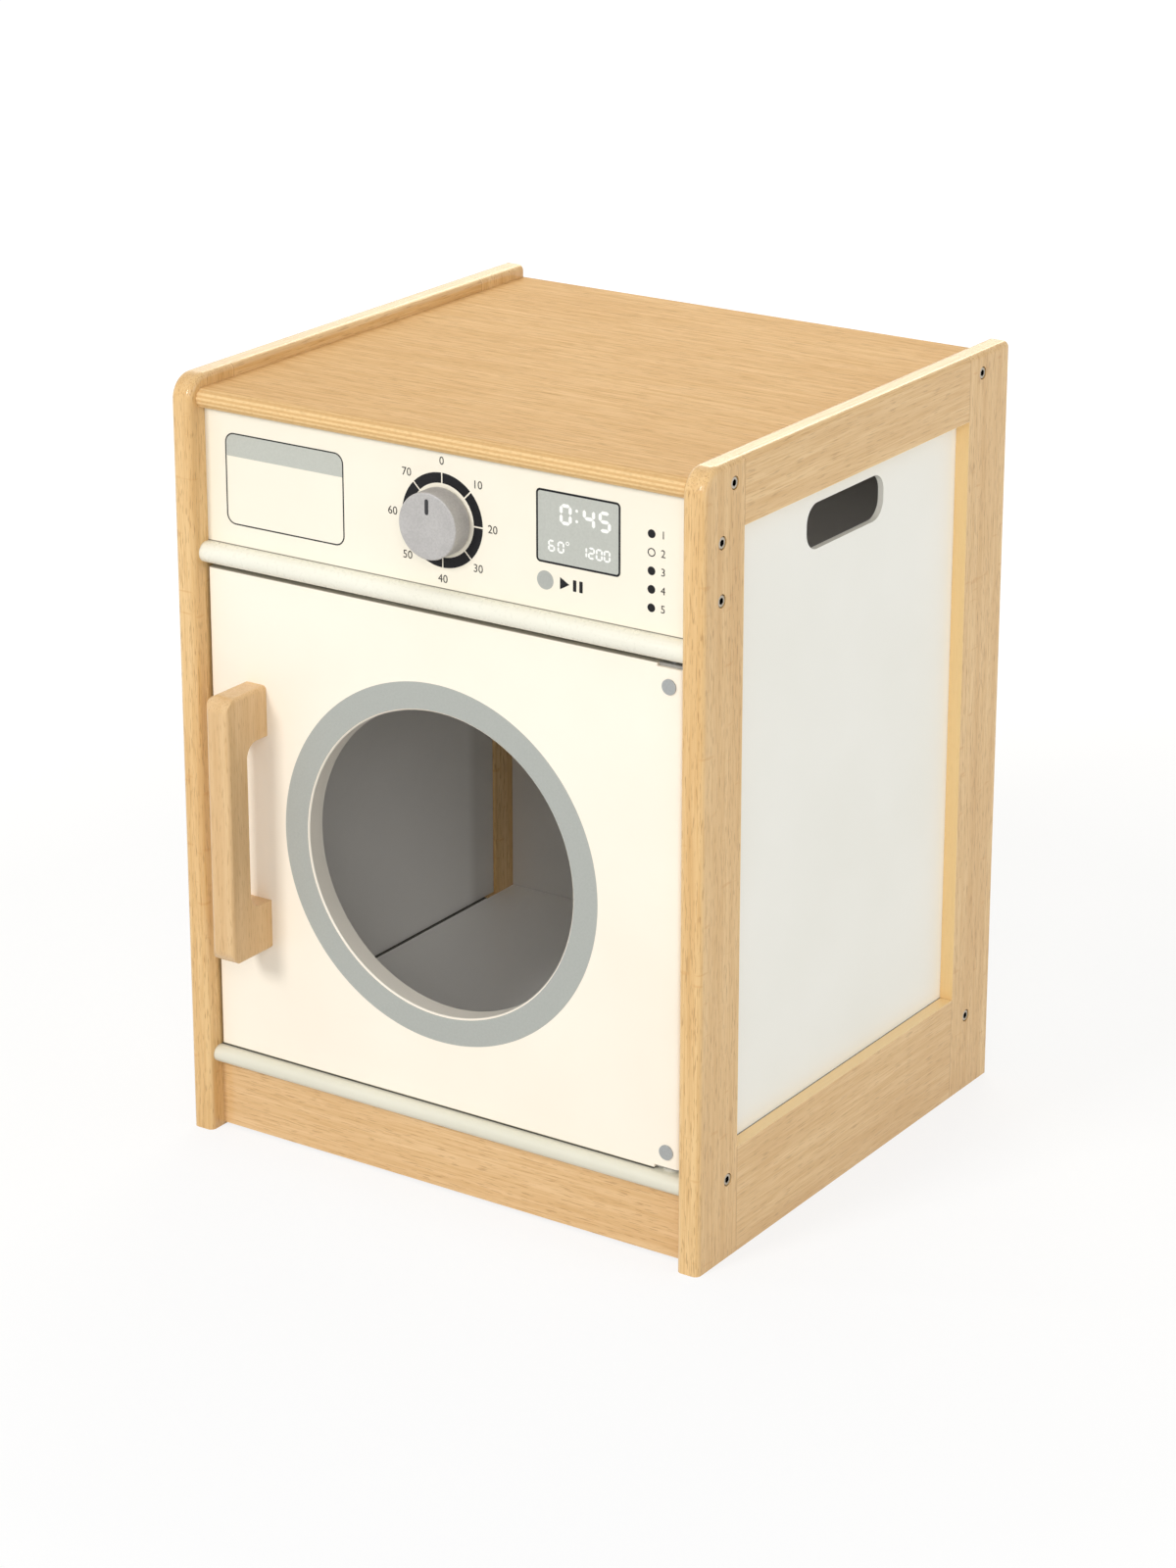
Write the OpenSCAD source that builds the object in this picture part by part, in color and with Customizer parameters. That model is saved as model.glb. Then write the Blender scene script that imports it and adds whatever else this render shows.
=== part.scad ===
// Toy washing machine in beech and painted board: two framed sides with recessed panels and
// hand-hold slots, a nosed worktop, a control panel with a turning dial, and a
// porthole door on two steel pivot pins with a wooden pull and a magnetic catch.
// Millimetres, +Z up, front towards -Y, origin at the bottom centre of the closed object.

/* [Cabinet] */
// Width over both side frames
cab_w = 400; // [340:1:520]
// Depth of the side frames
cab_d = 370; // [300:1:460]
// Height of the side frames
cab_h = 520; // [470:1:620]
// Thickness of the side frame boards
side_t = 16; // [14:0.5:22]
// Width of the front stiles
front_stile_w = 45; // [40:1:60]
// Width of the rear stiles
rear_stile_w = 50; // [40:1:60]
// Height of the top rails
top_rail_h = 43; // [38:1:56]
// Height of the bottom rails
bottom_rail_h = 72; // [66:1:86]
// Round-over along the front and top edges of the frames
edge_r = 4; // [2:0.5:6]
// Radius of the top front corner of the frames
corner_r = 16.5; // [8:0.5:24]

/* [Side panels] */
// Thickness of the side panels
side_panel_t = 4; // [3:0.5:5]
// Depth of the side panels behind the outer face of the frames
panel_recess = 9.5; // [6:0.5:10]
// How far the side panels lie behind the stiles and rails
panel_lap = 12; // [6:0.5:14]
// Length of the hand-hold slot
slot_w = 94; // [80:1:110]
// Height of the hand-hold slot
slot_h = 30; // [24:1:40]
// Corner radius of the hand-hold slot
slot_r = 12.5; // [6:0.5:15]
// Distance from the front stile to the slot
slot_inset = 88; // [60:1:110]
// Distance from the top rail down to the slot
slot_drop = 12; // [8:1:40]

/* [Worktop] */
// Thickness of the worktop
top_t = 13; // [11:0.5:16]
// How far the worktop lies below the top of the frames
top_drop = 8.5; // [7:0.5:12]
// How far the worktop nose stays behind the front of the frames
top_setback = 6; // [2:0.5:10]

/* [Front boards] */
// Thickness of the control panel
fascia_t = 12; // [11:0.5:14]
// Height of the control panel
fascia_h = 88.5; // [80:0.5:110]
// Distance from the front of the frames to the face of the control panel
fascia_setback = 14.5; // [11:0.5:18]
// Height of the rounded rail over the door
head_rail_h = 13.5; // [12:0.5:18]
// Distance from the front of the frames to the nose of the head rail
head_rail_setback = 4.5; // [1:0.5:8]
// Thickness of the base shelf
shelf_t = 11.5; // [11:0.5:16]
// Distance from the front of the frames to the nose of the base shelf
shelf_setback = 4; // [1:0.5:8]
// Height of the underside of the base shelf over the floor
shelf_rise = 48; // [40:1:54]
// Thickness of the plinth
plinth_t = 12; // [11:0.5:16]
// Distance from the front of the frames to the face of the plinth
plinth_setback = 13; // [8:0.5:15]
// Gap under the plinth
plinth_lift = 2; // [1:0.5:6]

/* [Back panel] */
// Thickness of the back panel
back_t = 4; // [3:0.5:6]
// Distance from the rear of the frames to the back panel
back_inset = 13; // [8:0.5:18]
// Depth of the grooves that hold the back panel
groove_deep = 4; // [2:0.5:5]

/* [Door] */
// Thickness of the door
door_t = 15; // [13:0.5:16]
// Distance from the front of the frames to the face of the door
door_setback = 11.8; // [9:0.1:13]
// Gap beside the door on the pull side
door_gap_pull = 1.5; // [1:0.5:4]
// Gap beside the door on the hinge side
door_gap_hinge = 4.5; // [3.5:0.5:8]
// Gap over the door
door_gap_top = 3.3; // [1:0.1:4.5]
// Gap under the door
door_gap_bottom = 1.2; // [0.5:0.1:3]
// Edge radius of the door on the hinge side
door_hinge_r = 4; // [2:0.5:6]
// Edge radius of the door on the pull side
door_pull_r = 1.5; // [1:0.5:4]
// Diameter of the porthole
hole_d = 204.5; // [150:0.5:220]
// Chamfer around the porthole
hole_chamfer = 1; // [0.5:0.5:2]
// Sideways offset of the porthole from the middle of the door
hole_shift = -2; // [-4:0.5:4]
// Distance from the middle of the door down to the middle of the porthole
hole_drop = 0.6; // [-4:0.1:4]

/* [Door pull] */
// Width of the pull
pull_w = 18; // [14:1:24]
// Height of the pull
pull_h = 182; // [150:1:220]
// Reach of the pull from the face of the door
pull_reach = 40.3; // [34:0.1:50]
// Thickness of the grip
grip_t = 19; // [14:0.5:22]
// Height of each foot of the pull
foot_h = 34; // [28:1:44]
// Radius of the coves between the feet and the grip
cove_r = 10; // [4:0.5:12]
// Radius of the outer corners of the pull
pull_corner_r = 10; // [4:0.5:12]
// Round-over along the edges of the pull
pull_edge_r = 3; // [1:0.5:6]
// Distance from the edge of the door to the pull
pull_inset = 26.5; // [16:0.5:34]
// Height of the foot of the pull over the bottom of the door
pull_rise = 78; // [50:1:110]

/* [Hinge] */
// Diameter of the pivot pins
pin_d = 5; // [4:0.5:6]
// Length of the pivot pins inside the door, short of the rivets
pin_reach = 5; // [3:0.5:5]
// Depth of the pivot pins in the rail and the shelf
pin_seat = 9; // [6:0.5:11]
// Distance from the hinge edge of the door to the pivot axis
pin_inset = 10.5; // [9:0.5:12]
// Thickness of the hinge bracket plates
bracket_t = 2; // [1.5:0.5:2.5]
// Length of the hinge bracket along the door
bracket_w = 19; // [16:1:24]
// Height of the bracket leg behind the door
bracket_leg = 24; // [20:1:34]
// Thickness of the nylon pivot washers
washer_t = 1.5; // [1:0.5:2]
// Diameter of the nylon pivot washers
washer_d = 12; // [9:0.5:14]
// Diameter of the rivet heads on the door
rivet_head_d = 10; // [8:0.5:12]
// Thickness of the rivet heads
rivet_head_t = 0.8; // [0.4:0.1:1.5]
// Diameter of the rivet shanks
rivet_d = 4; // [3:0.5:5]
// Distance from the bottom of the door to the lower rivet
rivet_rise = 12.5; // [11:0.5:16]
// Distance from the top of the door to the upper rivet
rivet_drop = 14; // [11:0.5:16]

/* [Dial] */
// Sideways place of the dial
dial_x = 1; // [-30:1:30]
// Diameter of the dial knob
knob_d = 43; // [34:1:56]
// Height of the dial knob
knob_h = 15; // [12:0.5:24]
// Radius of the front edge of the knob
knob_edge_r = 1; // [0.5:0.5:4]
// Diameter of the dial spindle
spindle_d = 6; // [5:0.5:8]
// Outer diameter of the dial bush
bush_d = 10; // [9.5:0.5:12]
// Diameter of the bush flange
bush_flange_d = 20; // [16:1:26]
// Thickness of the bush flange
bush_flange_t = 1; // [0.5:0.5:2]
// Width of the pointer on the knob
pointer_w = 2.6; // [2:0.2:4]
// Length of the pointer on the knob
pointer_l = 10; // [6:0.5:12]

/* [Magnetic catch] */
// Length of the catch housing
catch_w = 46; // [40:1:60]
// Height of the catch housing
catch_h = 12; // [10:1:16]
// Depth of the catch housing
catch_d = 16; // [12:1:20]
// Distance from the side frame to the catch
catch_inset = 24; // [10:1:40]
// Length of the magnet
magnet_w = 22; // [16:1:26]
// Thickness of the strike plate on the door
strike_t = 1; // [0.5:0.5:1.5]

/* [Fasteners] */
// Shank diameter of the cabinet screws
screw_d = 5; // [4:0.5:5.5]
// Overall length of the cabinet screws
screw_l = 42; // [36:1:50]
// Head diameter of the cabinet screws
screw_head_d = 8; // [7:0.5:8.5]
// Head height of the cabinet screws
screw_head_h = 3; // [2:0.5:4]
// Width across the flats of the hexagon socket
socket_w = 4; // [3:0.5:5]
// Diameter of the wood dowels
dowel_d = 6; // [5:0.5:6]
// Length of the wood dowels
dowel_l = 24; // [18:1:28]
// Shank diameter of the pull screws
pull_screw_d = 4; // [3:0.5:5]
// How far the pull screws go into the pull
pull_screw_bite = 16; // [10:1:22]
// Shank diameter of the small screws
small_screw_d = 3; // [2:0.5:3.5]

/* [Hidden] */
$fn = 96;

// Clearances
cut = 1;            // how far a cutter runs past the face it opens
seat_gap = 0.05;    // radial gap around a fixed pin, dowel or screw
run_gap = 0.05;     // radial gap around a turning pin or spindle
panel_gap = 0.3;    // gap around a panel in its rebate or groove
lift_gap = 0.3;     // gap between a moving face and the fixed face beside it
free_gap = 0.5;     // radial gap where a pin passes freely

// Main planes, from the front and the floor
pull_overhang = pull_reach - door_setback;
front_y = (pull_overhang - cab_d) / 2;
rear_y = front_y + cab_d;
inner_x = cab_w / 2 - side_t;
outer_x = cab_w / 2;
top_z = cab_h - top_drop;
top_under = top_z - top_t;
shelf_top = shelf_rise + shelf_t;
fascia_y = front_y + fascia_setback;
fascia_back = fascia_y + fascia_t;
fascia_z = top_under - fascia_h;
head_z = fascia_z - head_rail_h;
opening_front = front_y + front_stile_w;
opening_rear = rear_y - rear_stile_w;
opening_top = cab_h - top_rail_h;
panel_outer_x = outer_x - panel_recess;
back_y = rear_y - back_inset - back_t;

// Door planes
door_y = front_y + door_setback;
door_back = door_y + door_t;
door_x0 = -inner_x + door_gap_pull;
door_x1 = inner_x - door_gap_hinge;
door_z0 = shelf_top + door_gap_bottom;
door_z1 = head_z - door_gap_top;
hole_x = (door_x0 + door_x1) / 2 + hole_shift;
hole_z = (door_z0 + door_z1) / 2 - hole_drop;

// Hinge places
axis_x = door_x1 - pin_inset;
axis_y = (door_y + door_back) / 2;
low_plate_z = shelf_top + washer_t;
notch_h = low_plate_z + bracket_t - door_z0;
high_plate_z = door_z1 - notch_h;
bracket_x = door_x1 - bracket_w;
rivet_x = axis_x;
rivet_zs = [door_z0 + rivet_rise, door_z1 - rivet_drop];
rivet_tail_t = 1.2;
rivet_tail_d = rivet_d + 2.4;

// Pull places
pull_x = door_x0 + pull_inset;
pull_z = door_z0 + pull_rise;
pull_screw_zs = [pull_z + foot_h / 2, pull_z + pull_h - foot_h / 2];
pull_head_d = 8;
pull_head_h = 2.4;

// Dial places
dial_z = fascia_z + fascia_h / 2;
knob_back = fascia_y - bush_flange_t - lift_gap;
nut_h = 5;
nut_w = 10;
dial_washer_t = 1.2;
dial_washer_d = 14;
spindle_stub = 2;
spindle_end = fascia_back + lift_gap + dial_washer_t + nut_h + spindle_stub;
spindle_bite = 9;
pointer_deep = 0.5;
pointer_proud = 0.2;
pointer_edge = 4;

// Catch places
catch_x = -inner_x + catch_inset;
catch_y = door_back + strike_t + lift_gap;
catch_mid = catch_x + catch_w / 2;
ear_w = 10;
ear_h = 4;
magnet_d = 6;
magnet_h = 6;
magnet_z = shelf_top + catch_h / 2;
strike_h = 9;
strike_margin = 5;          // how far the plate runs past each end of the magnet
strike_w = magnet_w + 2 * strike_margin;
small_head_d = 6;
small_head_h = 1.6;
small_screw_l = 9;
strike_screw_l = 10;

// Screws through each side frame, as [y, z]
top_screw_inset = 33.6;
top_screw_lift = 1;         // over the middle of the worktop
shelf_screw_front = 34.5;
shelf_screw_rear = 30;
fascia_screw_pitch = 36;
fascia_mid_y = fascia_y + fascia_t / 2;
top_mid_z = top_under + top_t / 2;
top_screw_z = top_mid_z + top_screw_lift;
shelf_mid_z = shelf_rise + shelf_t / 2;
head_sunk = 0.5;
head_gap = 0.3;
socket_deep = 2;
side_screws = [
    [front_y + top_screw_inset, top_screw_z],
    [rear_y - top_screw_inset, top_screw_z],
    [fascia_mid_y, dial_z + fascia_screw_pitch / 2],
    [fascia_mid_y, dial_z - fascia_screw_pitch / 2],
    [front_y + shelf_screw_front, shelf_mid_z],
    [rear_y - shelf_screw_rear, shelf_mid_z]];

// Dowels between stiles and rails, as heights
frame_mid_x = inner_x + side_t / 2;
low_dowel_z = 16;
low_dowel_pitch = 20;
high_dowel_offset = 8.5;    // from the middle of the worktop, either way
dowel_zs = [low_dowel_z, low_dowel_z + low_dowel_pitch,
    top_mid_z - high_dowel_offset, top_mid_z + high_dowel_offset];

// Dowels at the plinth ends and between the head rail and the control panel
plinth_y = front_y + plinth_setback;
plinth_mid_y = plinth_y + plinth_t / 2;
plinth_dowel_edge = 11;     // from the edges of the plinth
plinth_dowel_zs = [plinth_lift + plinth_dowel_edge, shelf_rise - plinth_dowel_edge];
head_dowel_xs = [-120, 0, 120];
head_dowel_l = 18;

// ---- shared shapes ----

// Outline with the two corners at y = 0 rounded
module nosed_outline(w, l, r) {
    translate([r, 0]) square([w - 2 * r, l]);
    translate([0, r]) square([w, l - r]);
    translate([r, r]) circle(r);
    translate([w - r, r]) circle(r);
}

// Board along X whose front edge is a full half round
module nosed_board(y, l, z, t) {
    translate([-inner_x, y, z])
        rotate([90, 0, 90])
            linear_extrude(2 * inner_x)
                union() {
                    translate([t / 2, t / 2]) circle(t / 2);
                    translate([t / 2, 0]) square([l - t / 2, t]);
                }
}

// Cylinder along X from x
module rod_x(x, y, z, d, l) {
    translate([x, y, z]) rotate([0, 90, 0]) cylinder(d = d, h = l);
}

// Cylinder along Y from y
module rod_y(x, y, z, d, l) {
    translate([x, y, z]) rotate([-90, 0, 0]) cylinder(d = d, h = l);
}

// ---- fasteners of the cabinet ----

module cabinet_screw() {
    shank_l = screw_l - screw_head_h;
    head_x = outer_x - head_sunk - screw_head_h;
    difference() {
        union() {
            rod_x(head_x - shank_l, 0, 0, screw_d, shank_l);
            rod_x(head_x, 0, 0, screw_head_d, screw_head_h);
        }
        translate([outer_x - head_sunk - socket_deep, 0, 0])
            rotate([0, 90, 0])
                cylinder(d = socket_w / cos(30), h = socket_deep + cut, $fn = 6);
    }
}

module cabinet_screw_hole() {
    head_x = outer_x - head_sunk - screw_head_h;
    tip_x = outer_x - head_sunk - screw_l;
    rod_x(tip_x - seat_gap, 0, 0, screw_d + 2 * seat_gap, screw_l);
    rod_x(head_x - seat_gap, 0, 0, screw_head_d + 2 * head_gap, screw_head_h + head_sunk + cut);
}

module side_screw_holes() {
    for (p = side_screws)
        translate([0, p[0], p[1]]) cabinet_screw_hole();
}

module frame_dowel_set(gap) {
    for (y = [opening_front, opening_rear], z = dowel_zs)
        rod_y(frame_mid_x, y - dowel_l / 2 - gap, z, dowel_d + 2 * gap, dowel_l + 2 * gap);
}

module plinth_dowel_set(gap) {
    for (z = plinth_dowel_zs)
        rod_x(inner_x - dowel_l / 2 - gap, plinth_mid_y, z, dowel_d + 2 * gap, dowel_l + 2 * gap);
}

module head_dowel_set(gap) {
    for (x = head_dowel_xs)
        translate([x, fascia_mid_y, fascia_z - head_dowel_l / 2 - gap])
            cylinder(d = dowel_d + 2 * gap, h = head_dowel_l + 2 * gap);
}

module both_sides() {
    children();
    mirror([1, 0, 0]) children();
}

// ---- side frames, drawn on the right ----

module panel_rebate() {
    translate([inner_x - cut, opening_front - panel_lap, bottom_rail_h - panel_lap])
        cube([side_t - panel_recess + cut,
            opening_rear - opening_front + 2 * panel_lap,
            opening_top - bottom_rail_h + 2 * panel_lap]);
}

module back_groove_x() {
    translate([inner_x - cut, back_y - panel_gap / 2, shelf_top - groove_deep])
        cube([groove_deep + cut, back_t + panel_gap, top_under - shelf_top + 2 * groove_deep]);
}

module front_stile_blank() {
    straight_z = cab_h - corner_r;
    translate([inner_x, front_y, 0])
        linear_extrude(straight_z)
            nosed_outline(side_t, front_stile_w, edge_r);
    translate([inner_x, front_y + corner_r, straight_z])
        mirror([0, 1, 0])
            rotate([90, 0, 90])
                rotate_extrude(angle = 90)
                    translate([corner_r, 0])
                        rotate(90)
                            nosed_outline(side_t, corner_r, edge_r);
    translate([inner_x, opening_front, cab_h])
        rotate([90, 0, 0])
            linear_extrude(front_stile_w - corner_r)
                mirror([0, 1])
                    nosed_outline(side_t, corner_r, edge_r);
}

module front_stile() {
    color("burlywood")
        difference() {
            front_stile_blank();
            panel_rebate();
            side_screw_holes();
            frame_dowel_set(seat_gap);
            plinth_dowel_set(seat_gap);
        }
}

module rear_stile() {
    color("burlywood")
        difference() {
            translate([inner_x, rear_y, cab_h])
                rotate([90, 0, 0])
                    linear_extrude(rear_stile_w)
                        mirror([0, 1])
                            nosed_outline(side_t, cab_h, edge_r);
            panel_rebate();
            back_groove_x();
            side_screw_holes();
            frame_dowel_set(seat_gap);
        }
}

module top_rail() {
    color("burlywood")
        difference() {
            translate([inner_x, opening_rear, cab_h])
                rotate([90, 0, 0])
                    linear_extrude(opening_rear - opening_front)
                        mirror([0, 1])
                            nosed_outline(side_t, top_rail_h, edge_r);
            panel_rebate();
            frame_dowel_set(seat_gap);
        }
}

module bottom_rail() {
    color("burlywood")
        difference() {
            translate([inner_x, opening_front, 0])
                cube([side_t, opening_rear - opening_front, bottom_rail_h]);
            panel_rebate();
            frame_dowel_set(seat_gap);
        }
}

module slot_outline() {
    r = min(slot_r, slot_h / 2 - 1);
    for (u = [r, slot_w - r], v = [r, slot_h - r])
        translate([u, v]) circle(r);
    translate([r, 0]) square([slot_w - 2 * r, slot_h]);
    translate([0, r]) square([slot_w, slot_h - 2 * r]);
}

module side_panel() {
    grow = panel_lap - panel_gap;
    color("whitesmoke")
        difference() {
            translate([panel_outer_x - side_panel_t, opening_front - grow, bottom_rail_h - grow])
                cube([side_panel_t,
                    opening_rear - opening_front + 2 * grow,
                    opening_top - bottom_rail_h + 2 * grow]);
            translate([panel_outer_x - side_panel_t - cut,
                opening_front + slot_inset, opening_top - slot_drop - slot_h])
                rotate([90, 0, 90])
                    linear_extrude(side_panel_t + 2 * cut)
                        slot_outline();
        }
}

module left_front_stile() { mirror([1, 0, 0]) front_stile(); }
module left_rear_stile() { mirror([1, 0, 0]) rear_stile(); }
module left_top_rail() { mirror([1, 0, 0]) top_rail(); }
module left_bottom_rail() { mirror([1, 0, 0]) bottom_rail(); }
module left_side_panel() { mirror([1, 0, 0]) side_panel(); }
module right_front_stile() { front_stile(); }
module right_rear_stile() { rear_stile(); }
module right_top_rail() { top_rail(); }
module right_bottom_rail() { bottom_rail(); }
module right_side_panel() { side_panel(); }

// ---- boards between the sides ----

module worktop() {
    color("tan")
        difference() {
            nosed_board(front_y + top_setback, cab_d - top_setback, top_under, top_t);
            translate([-inner_x - cut, back_y - panel_gap / 2, top_under - cut])
                cube([2 * (inner_x + cut), back_t + panel_gap, groove_deep + cut]);
            both_sides() side_screw_holes();
        }
}

module control_panel() {
    color("oldlace")
        difference() {
            translate([-inner_x, fascia_y, fascia_z])
                cube([2 * inner_x, fascia_t, fascia_h]);
            rod_y(dial_x, fascia_y - cut, dial_z, bush_d + 2 * seat_gap, fascia_t + 2 * cut);
            both_sides() side_screw_holes();
            head_dowel_set(seat_gap);
        }
}

module head_rail() {
    color("ivory")
        difference() {
            nosed_board(front_y + head_rail_setback, fascia_back - front_y - head_rail_setback,
                head_z, head_rail_h);
            head_dowel_set(seat_gap);
            translate([axis_x, axis_y, head_z - cut])
                cylinder(d = pin_d + 2 * seat_gap, h = pin_seat + seat_gap + cut);
        }
}

module base_shelf() {
    color("linen")
        difference() {
            nosed_board(front_y + shelf_setback, cab_d - shelf_setback, shelf_rise, shelf_t);
            translate([-inner_x - cut, back_y - panel_gap / 2, shelf_top - groove_deep])
                cube([2 * (inner_x + cut), back_t + panel_gap, groove_deep + cut]);
            both_sides() side_screw_holes();
            translate([axis_x, axis_y, shelf_top - pin_seat - seat_gap])
                cylinder(d = pin_d + 2 * seat_gap, h = pin_seat + seat_gap + cut);
            catch_screw_set(seat_gap);
        }
}

module plinth() {
    color("burlywood")
        difference() {
            translate([-inner_x, plinth_y, plinth_lift])
                cube([2 * inner_x, plinth_t, shelf_rise - plinth_lift]);
            both_sides() plinth_dowel_set(seat_gap);
        }
}

module back_panel() {
    grow = groove_deep - panel_gap;
    color("whitesmoke")
        translate([-inner_x - grow, back_y, shelf_top - grow])
            cube([2 * (inner_x + grow), back_t, top_under - shelf_top + 2 * grow]);
}

module frame_dowels() {
    color("wheat") both_sides() frame_dowel_set(0);
}

module board_dowels() {
    color("wheat") {
        both_sides() plinth_dowel_set(0);
        head_dowel_set(0);
    }
}

module cabinet_screws() {
    color("dimgray")
        both_sides()
            for (p = side_screws)
                translate([0, p[0], p[1]]) cabinet_screw();
}

// ---- door ----

module door_outline() {
    w = door_x1 - door_x0;
    for (v = [door_pull_r, door_t - door_pull_r])
        translate([door_pull_r, v]) circle(door_pull_r);
    for (v = [door_hinge_r, door_t - door_hinge_r])
        translate([w - door_hinge_r, v]) circle(door_hinge_r);
    translate([door_pull_r, 0]) square([w - door_pull_r - door_hinge_r, door_t]);
    translate([0, door_pull_r]) square([door_pull_r, door_t - 2 * door_pull_r]);
    translate([w - door_hinge_r, door_hinge_r]) square([door_hinge_r, door_t - 2 * door_hinge_r]);
}

module porthole() {
    rod_y(hole_x, door_y - cut, hole_z, hole_d, door_t + 2 * cut);
    translate([hole_x, door_y, hole_z])
        rotate([-90, 0, 0])
            cylinder(d1 = hole_d + 2 * hole_chamfer, d2 = hole_d, h = hole_chamfer);
    translate([hole_x, door_back - hole_chamfer, hole_z])
        rotate([-90, 0, 0])
            cylinder(d1 = hole_d, d2 = hole_d + 2 * hole_chamfer, h = hole_chamfer);
}

module hinge_notch(z) {
    translate([bracket_x - panel_gap, door_y - cut, z])
        cube([bracket_w + panel_gap + cut, door_t + 2 * cut, notch_h + cut]);
}

module door_panel() {
    bore_h = pin_reach + 2 * free_gap;
    color("oldlace")
        difference() {
            translate([door_x0, door_y, door_z0])
                linear_extrude(door_z1 - door_z0)
                    door_outline();
            porthole();
            hinge_notch(door_z0 - cut);
            hinge_notch(high_plate_z);
            translate([axis_x, axis_y, door_z0])
                cylinder(d = pin_d + 2 * free_gap, h = notch_h + bore_h);
            translate([axis_x, axis_y, high_plate_z - bore_h])
                cylinder(d = pin_d + 2 * free_gap, h = notch_h + bore_h);
            for (z = rivet_zs)
                rod_y(rivet_x, door_y - cut, z, rivet_d + 2 * seat_gap, door_t + 2 * cut);
            for (z = pull_screw_zs)
                rod_y(pull_x + pull_w / 2, door_y - cut, z, pull_screw_d + 2 * seat_gap, door_t + 2 * cut);
            rod_y(catch_mid, door_back - strike_screw_l + strike_t, magnet_z,
                small_screw_d + 2 * seat_gap, strike_screw_l + cut);
        }
}

// Side outline of the pull, y towards the door and z up, starting at its lower front corner
module pull_outline() {
    inner = pull_h - 2 * foot_h;
    gap_d = pull_reach - grip_t;
    difference() {
        union() {
            for (v = [pull_corner_r, pull_h - pull_corner_r])
                translate([pull_corner_r, v]) circle(pull_corner_r);
            translate([pull_corner_r, 0]) square([pull_reach - pull_corner_r, pull_h]);
            translate([0, pull_corner_r]) square([pull_reach, pull_h - 2 * pull_corner_r]);
        }
        for (v = [foot_h + cove_r, pull_h - foot_h - cove_r])
            translate([grip_t + cove_r, v]) circle(cove_r);
        translate([grip_t + cove_r, foot_h]) square([gap_d - cove_r + cut, inner]);
        translate([grip_t, foot_h + cove_r]) square([gap_d + cut, inner - 2 * cove_r]);
    }
}

module door_pull() {
    color("burlywood")
        difference() {
            intersection() {
                translate([pull_x, door_y - pull_reach, pull_z])
                    rotate([90, 0, 90])
                        linear_extrude(pull_w)
                            pull_outline();
                translate([pull_x, door_y - pull_reach, pull_z])
                    linear_extrude(pull_h)
                        nosed_outline(pull_w, pull_reach, pull_edge_r);
                translate([pull_x, door_y, pull_z])
                    rotate([90, 0, 0])
                        linear_extrude(pull_reach)
                            union() {
                                nosed_outline(pull_w, pull_h / 2, pull_edge_r);
                                translate([0, pull_h])
                                    mirror([0, 1])
                                        nosed_outline(pull_w, pull_h / 2, pull_edge_r);
                            }
            }
            for (z = pull_screw_zs)
                rod_y(pull_x + pull_w / 2, door_y - pull_screw_bite - seat_gap, z,
                    pull_screw_d + 2 * seat_gap, pull_screw_bite + seat_gap + cut);
        }
}

module pull_screws() {
    color("silver")
        for (z = pull_screw_zs) {
            rod_y(pull_x + pull_w / 2, door_y - pull_screw_bite, z, pull_screw_d, pull_screw_bite + door_t);
            rod_y(pull_x + pull_w / 2, door_back, z, pull_head_d, pull_head_h);
        }
}

// ---- hinge ----

// Angle bracket with its flat leg at z and its other leg up or down behind the door
module hinge_bracket(z, leg_z) {
    difference() {
        union() {
            translate([bracket_x, door_y + door_hinge_r / 2, z])
                cube([bracket_w - door_hinge_r / 2, door_t - door_hinge_r / 2 + bracket_t, bracket_t]);
            translate([bracket_x, door_back, leg_z])
                cube([bracket_w - door_hinge_r / 2, bracket_t, bracket_leg]);
        }
        translate([axis_x, axis_y, z - cut])
            cylinder(d = pin_d + 2 * run_gap, h = bracket_t + 2 * cut);
        for (rz = rivet_zs)
            rod_y(rivet_x, door_back - cut, rz, rivet_d + 2 * seat_gap, bracket_t + 2 * cut);
    }
}

module hinge_brackets() {
    color("silver") {
        hinge_bracket(low_plate_z, low_plate_z);
        hinge_bracket(high_plate_z, high_plate_z + bracket_t - bracket_leg);
    }
}

module hinge_rivets() {
    color("darkgray")
        for (z = rivet_zs) {
            rod_y(rivet_x, door_y - rivet_head_t, z, rivet_head_d, rivet_head_t);
            rod_y(rivet_x, door_y, z, rivet_d, door_t + bracket_t);
            rod_y(rivet_x, door_back + bracket_t, z, rivet_tail_d, rivet_tail_t);
        }
}

module hinge_pins() {
    color("silver") {
        translate([axis_x, axis_y, shelf_top - pin_seat])
            cylinder(d = pin_d, h = pin_seat + washer_t + bracket_t + pin_reach);
        translate([axis_x, axis_y, high_plate_z - pin_reach])
            cylinder(d = pin_d, h = head_z + pin_seat - high_plate_z + pin_reach);
    }
}

module hinge_washers() {
    color("white")
        for (z = [shelf_top, head_z - washer_t])
            translate([axis_x, axis_y, z])
                difference() {
                    cylinder(d = washer_d, h = washer_t);
                    translate([0, 0, -cut])
                        cylinder(d = pin_d + 2 * seat_gap, h = washer_t + 2 * cut);
                }
}

// ---- dial ----

// Shape about the dial axis, drawn with +Z towards the front
module on_dial(y) {
    translate([dial_x, y, dial_z]) rotate([90, 0, 0]) children();
}

module pointer_shape(h) {
    reach = knob_d / 2 - pointer_edge;
    linear_extrude(h)
        for (v = [reach - pointer_w / 2, reach - pointer_l + pointer_w / 2])
            translate([0, v]) circle(d = pointer_w);
    translate([-pointer_w / 2, reach - pointer_l + pointer_w / 2, 0])
        cube([pointer_w, pointer_l - pointer_w, h]);
}

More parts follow.
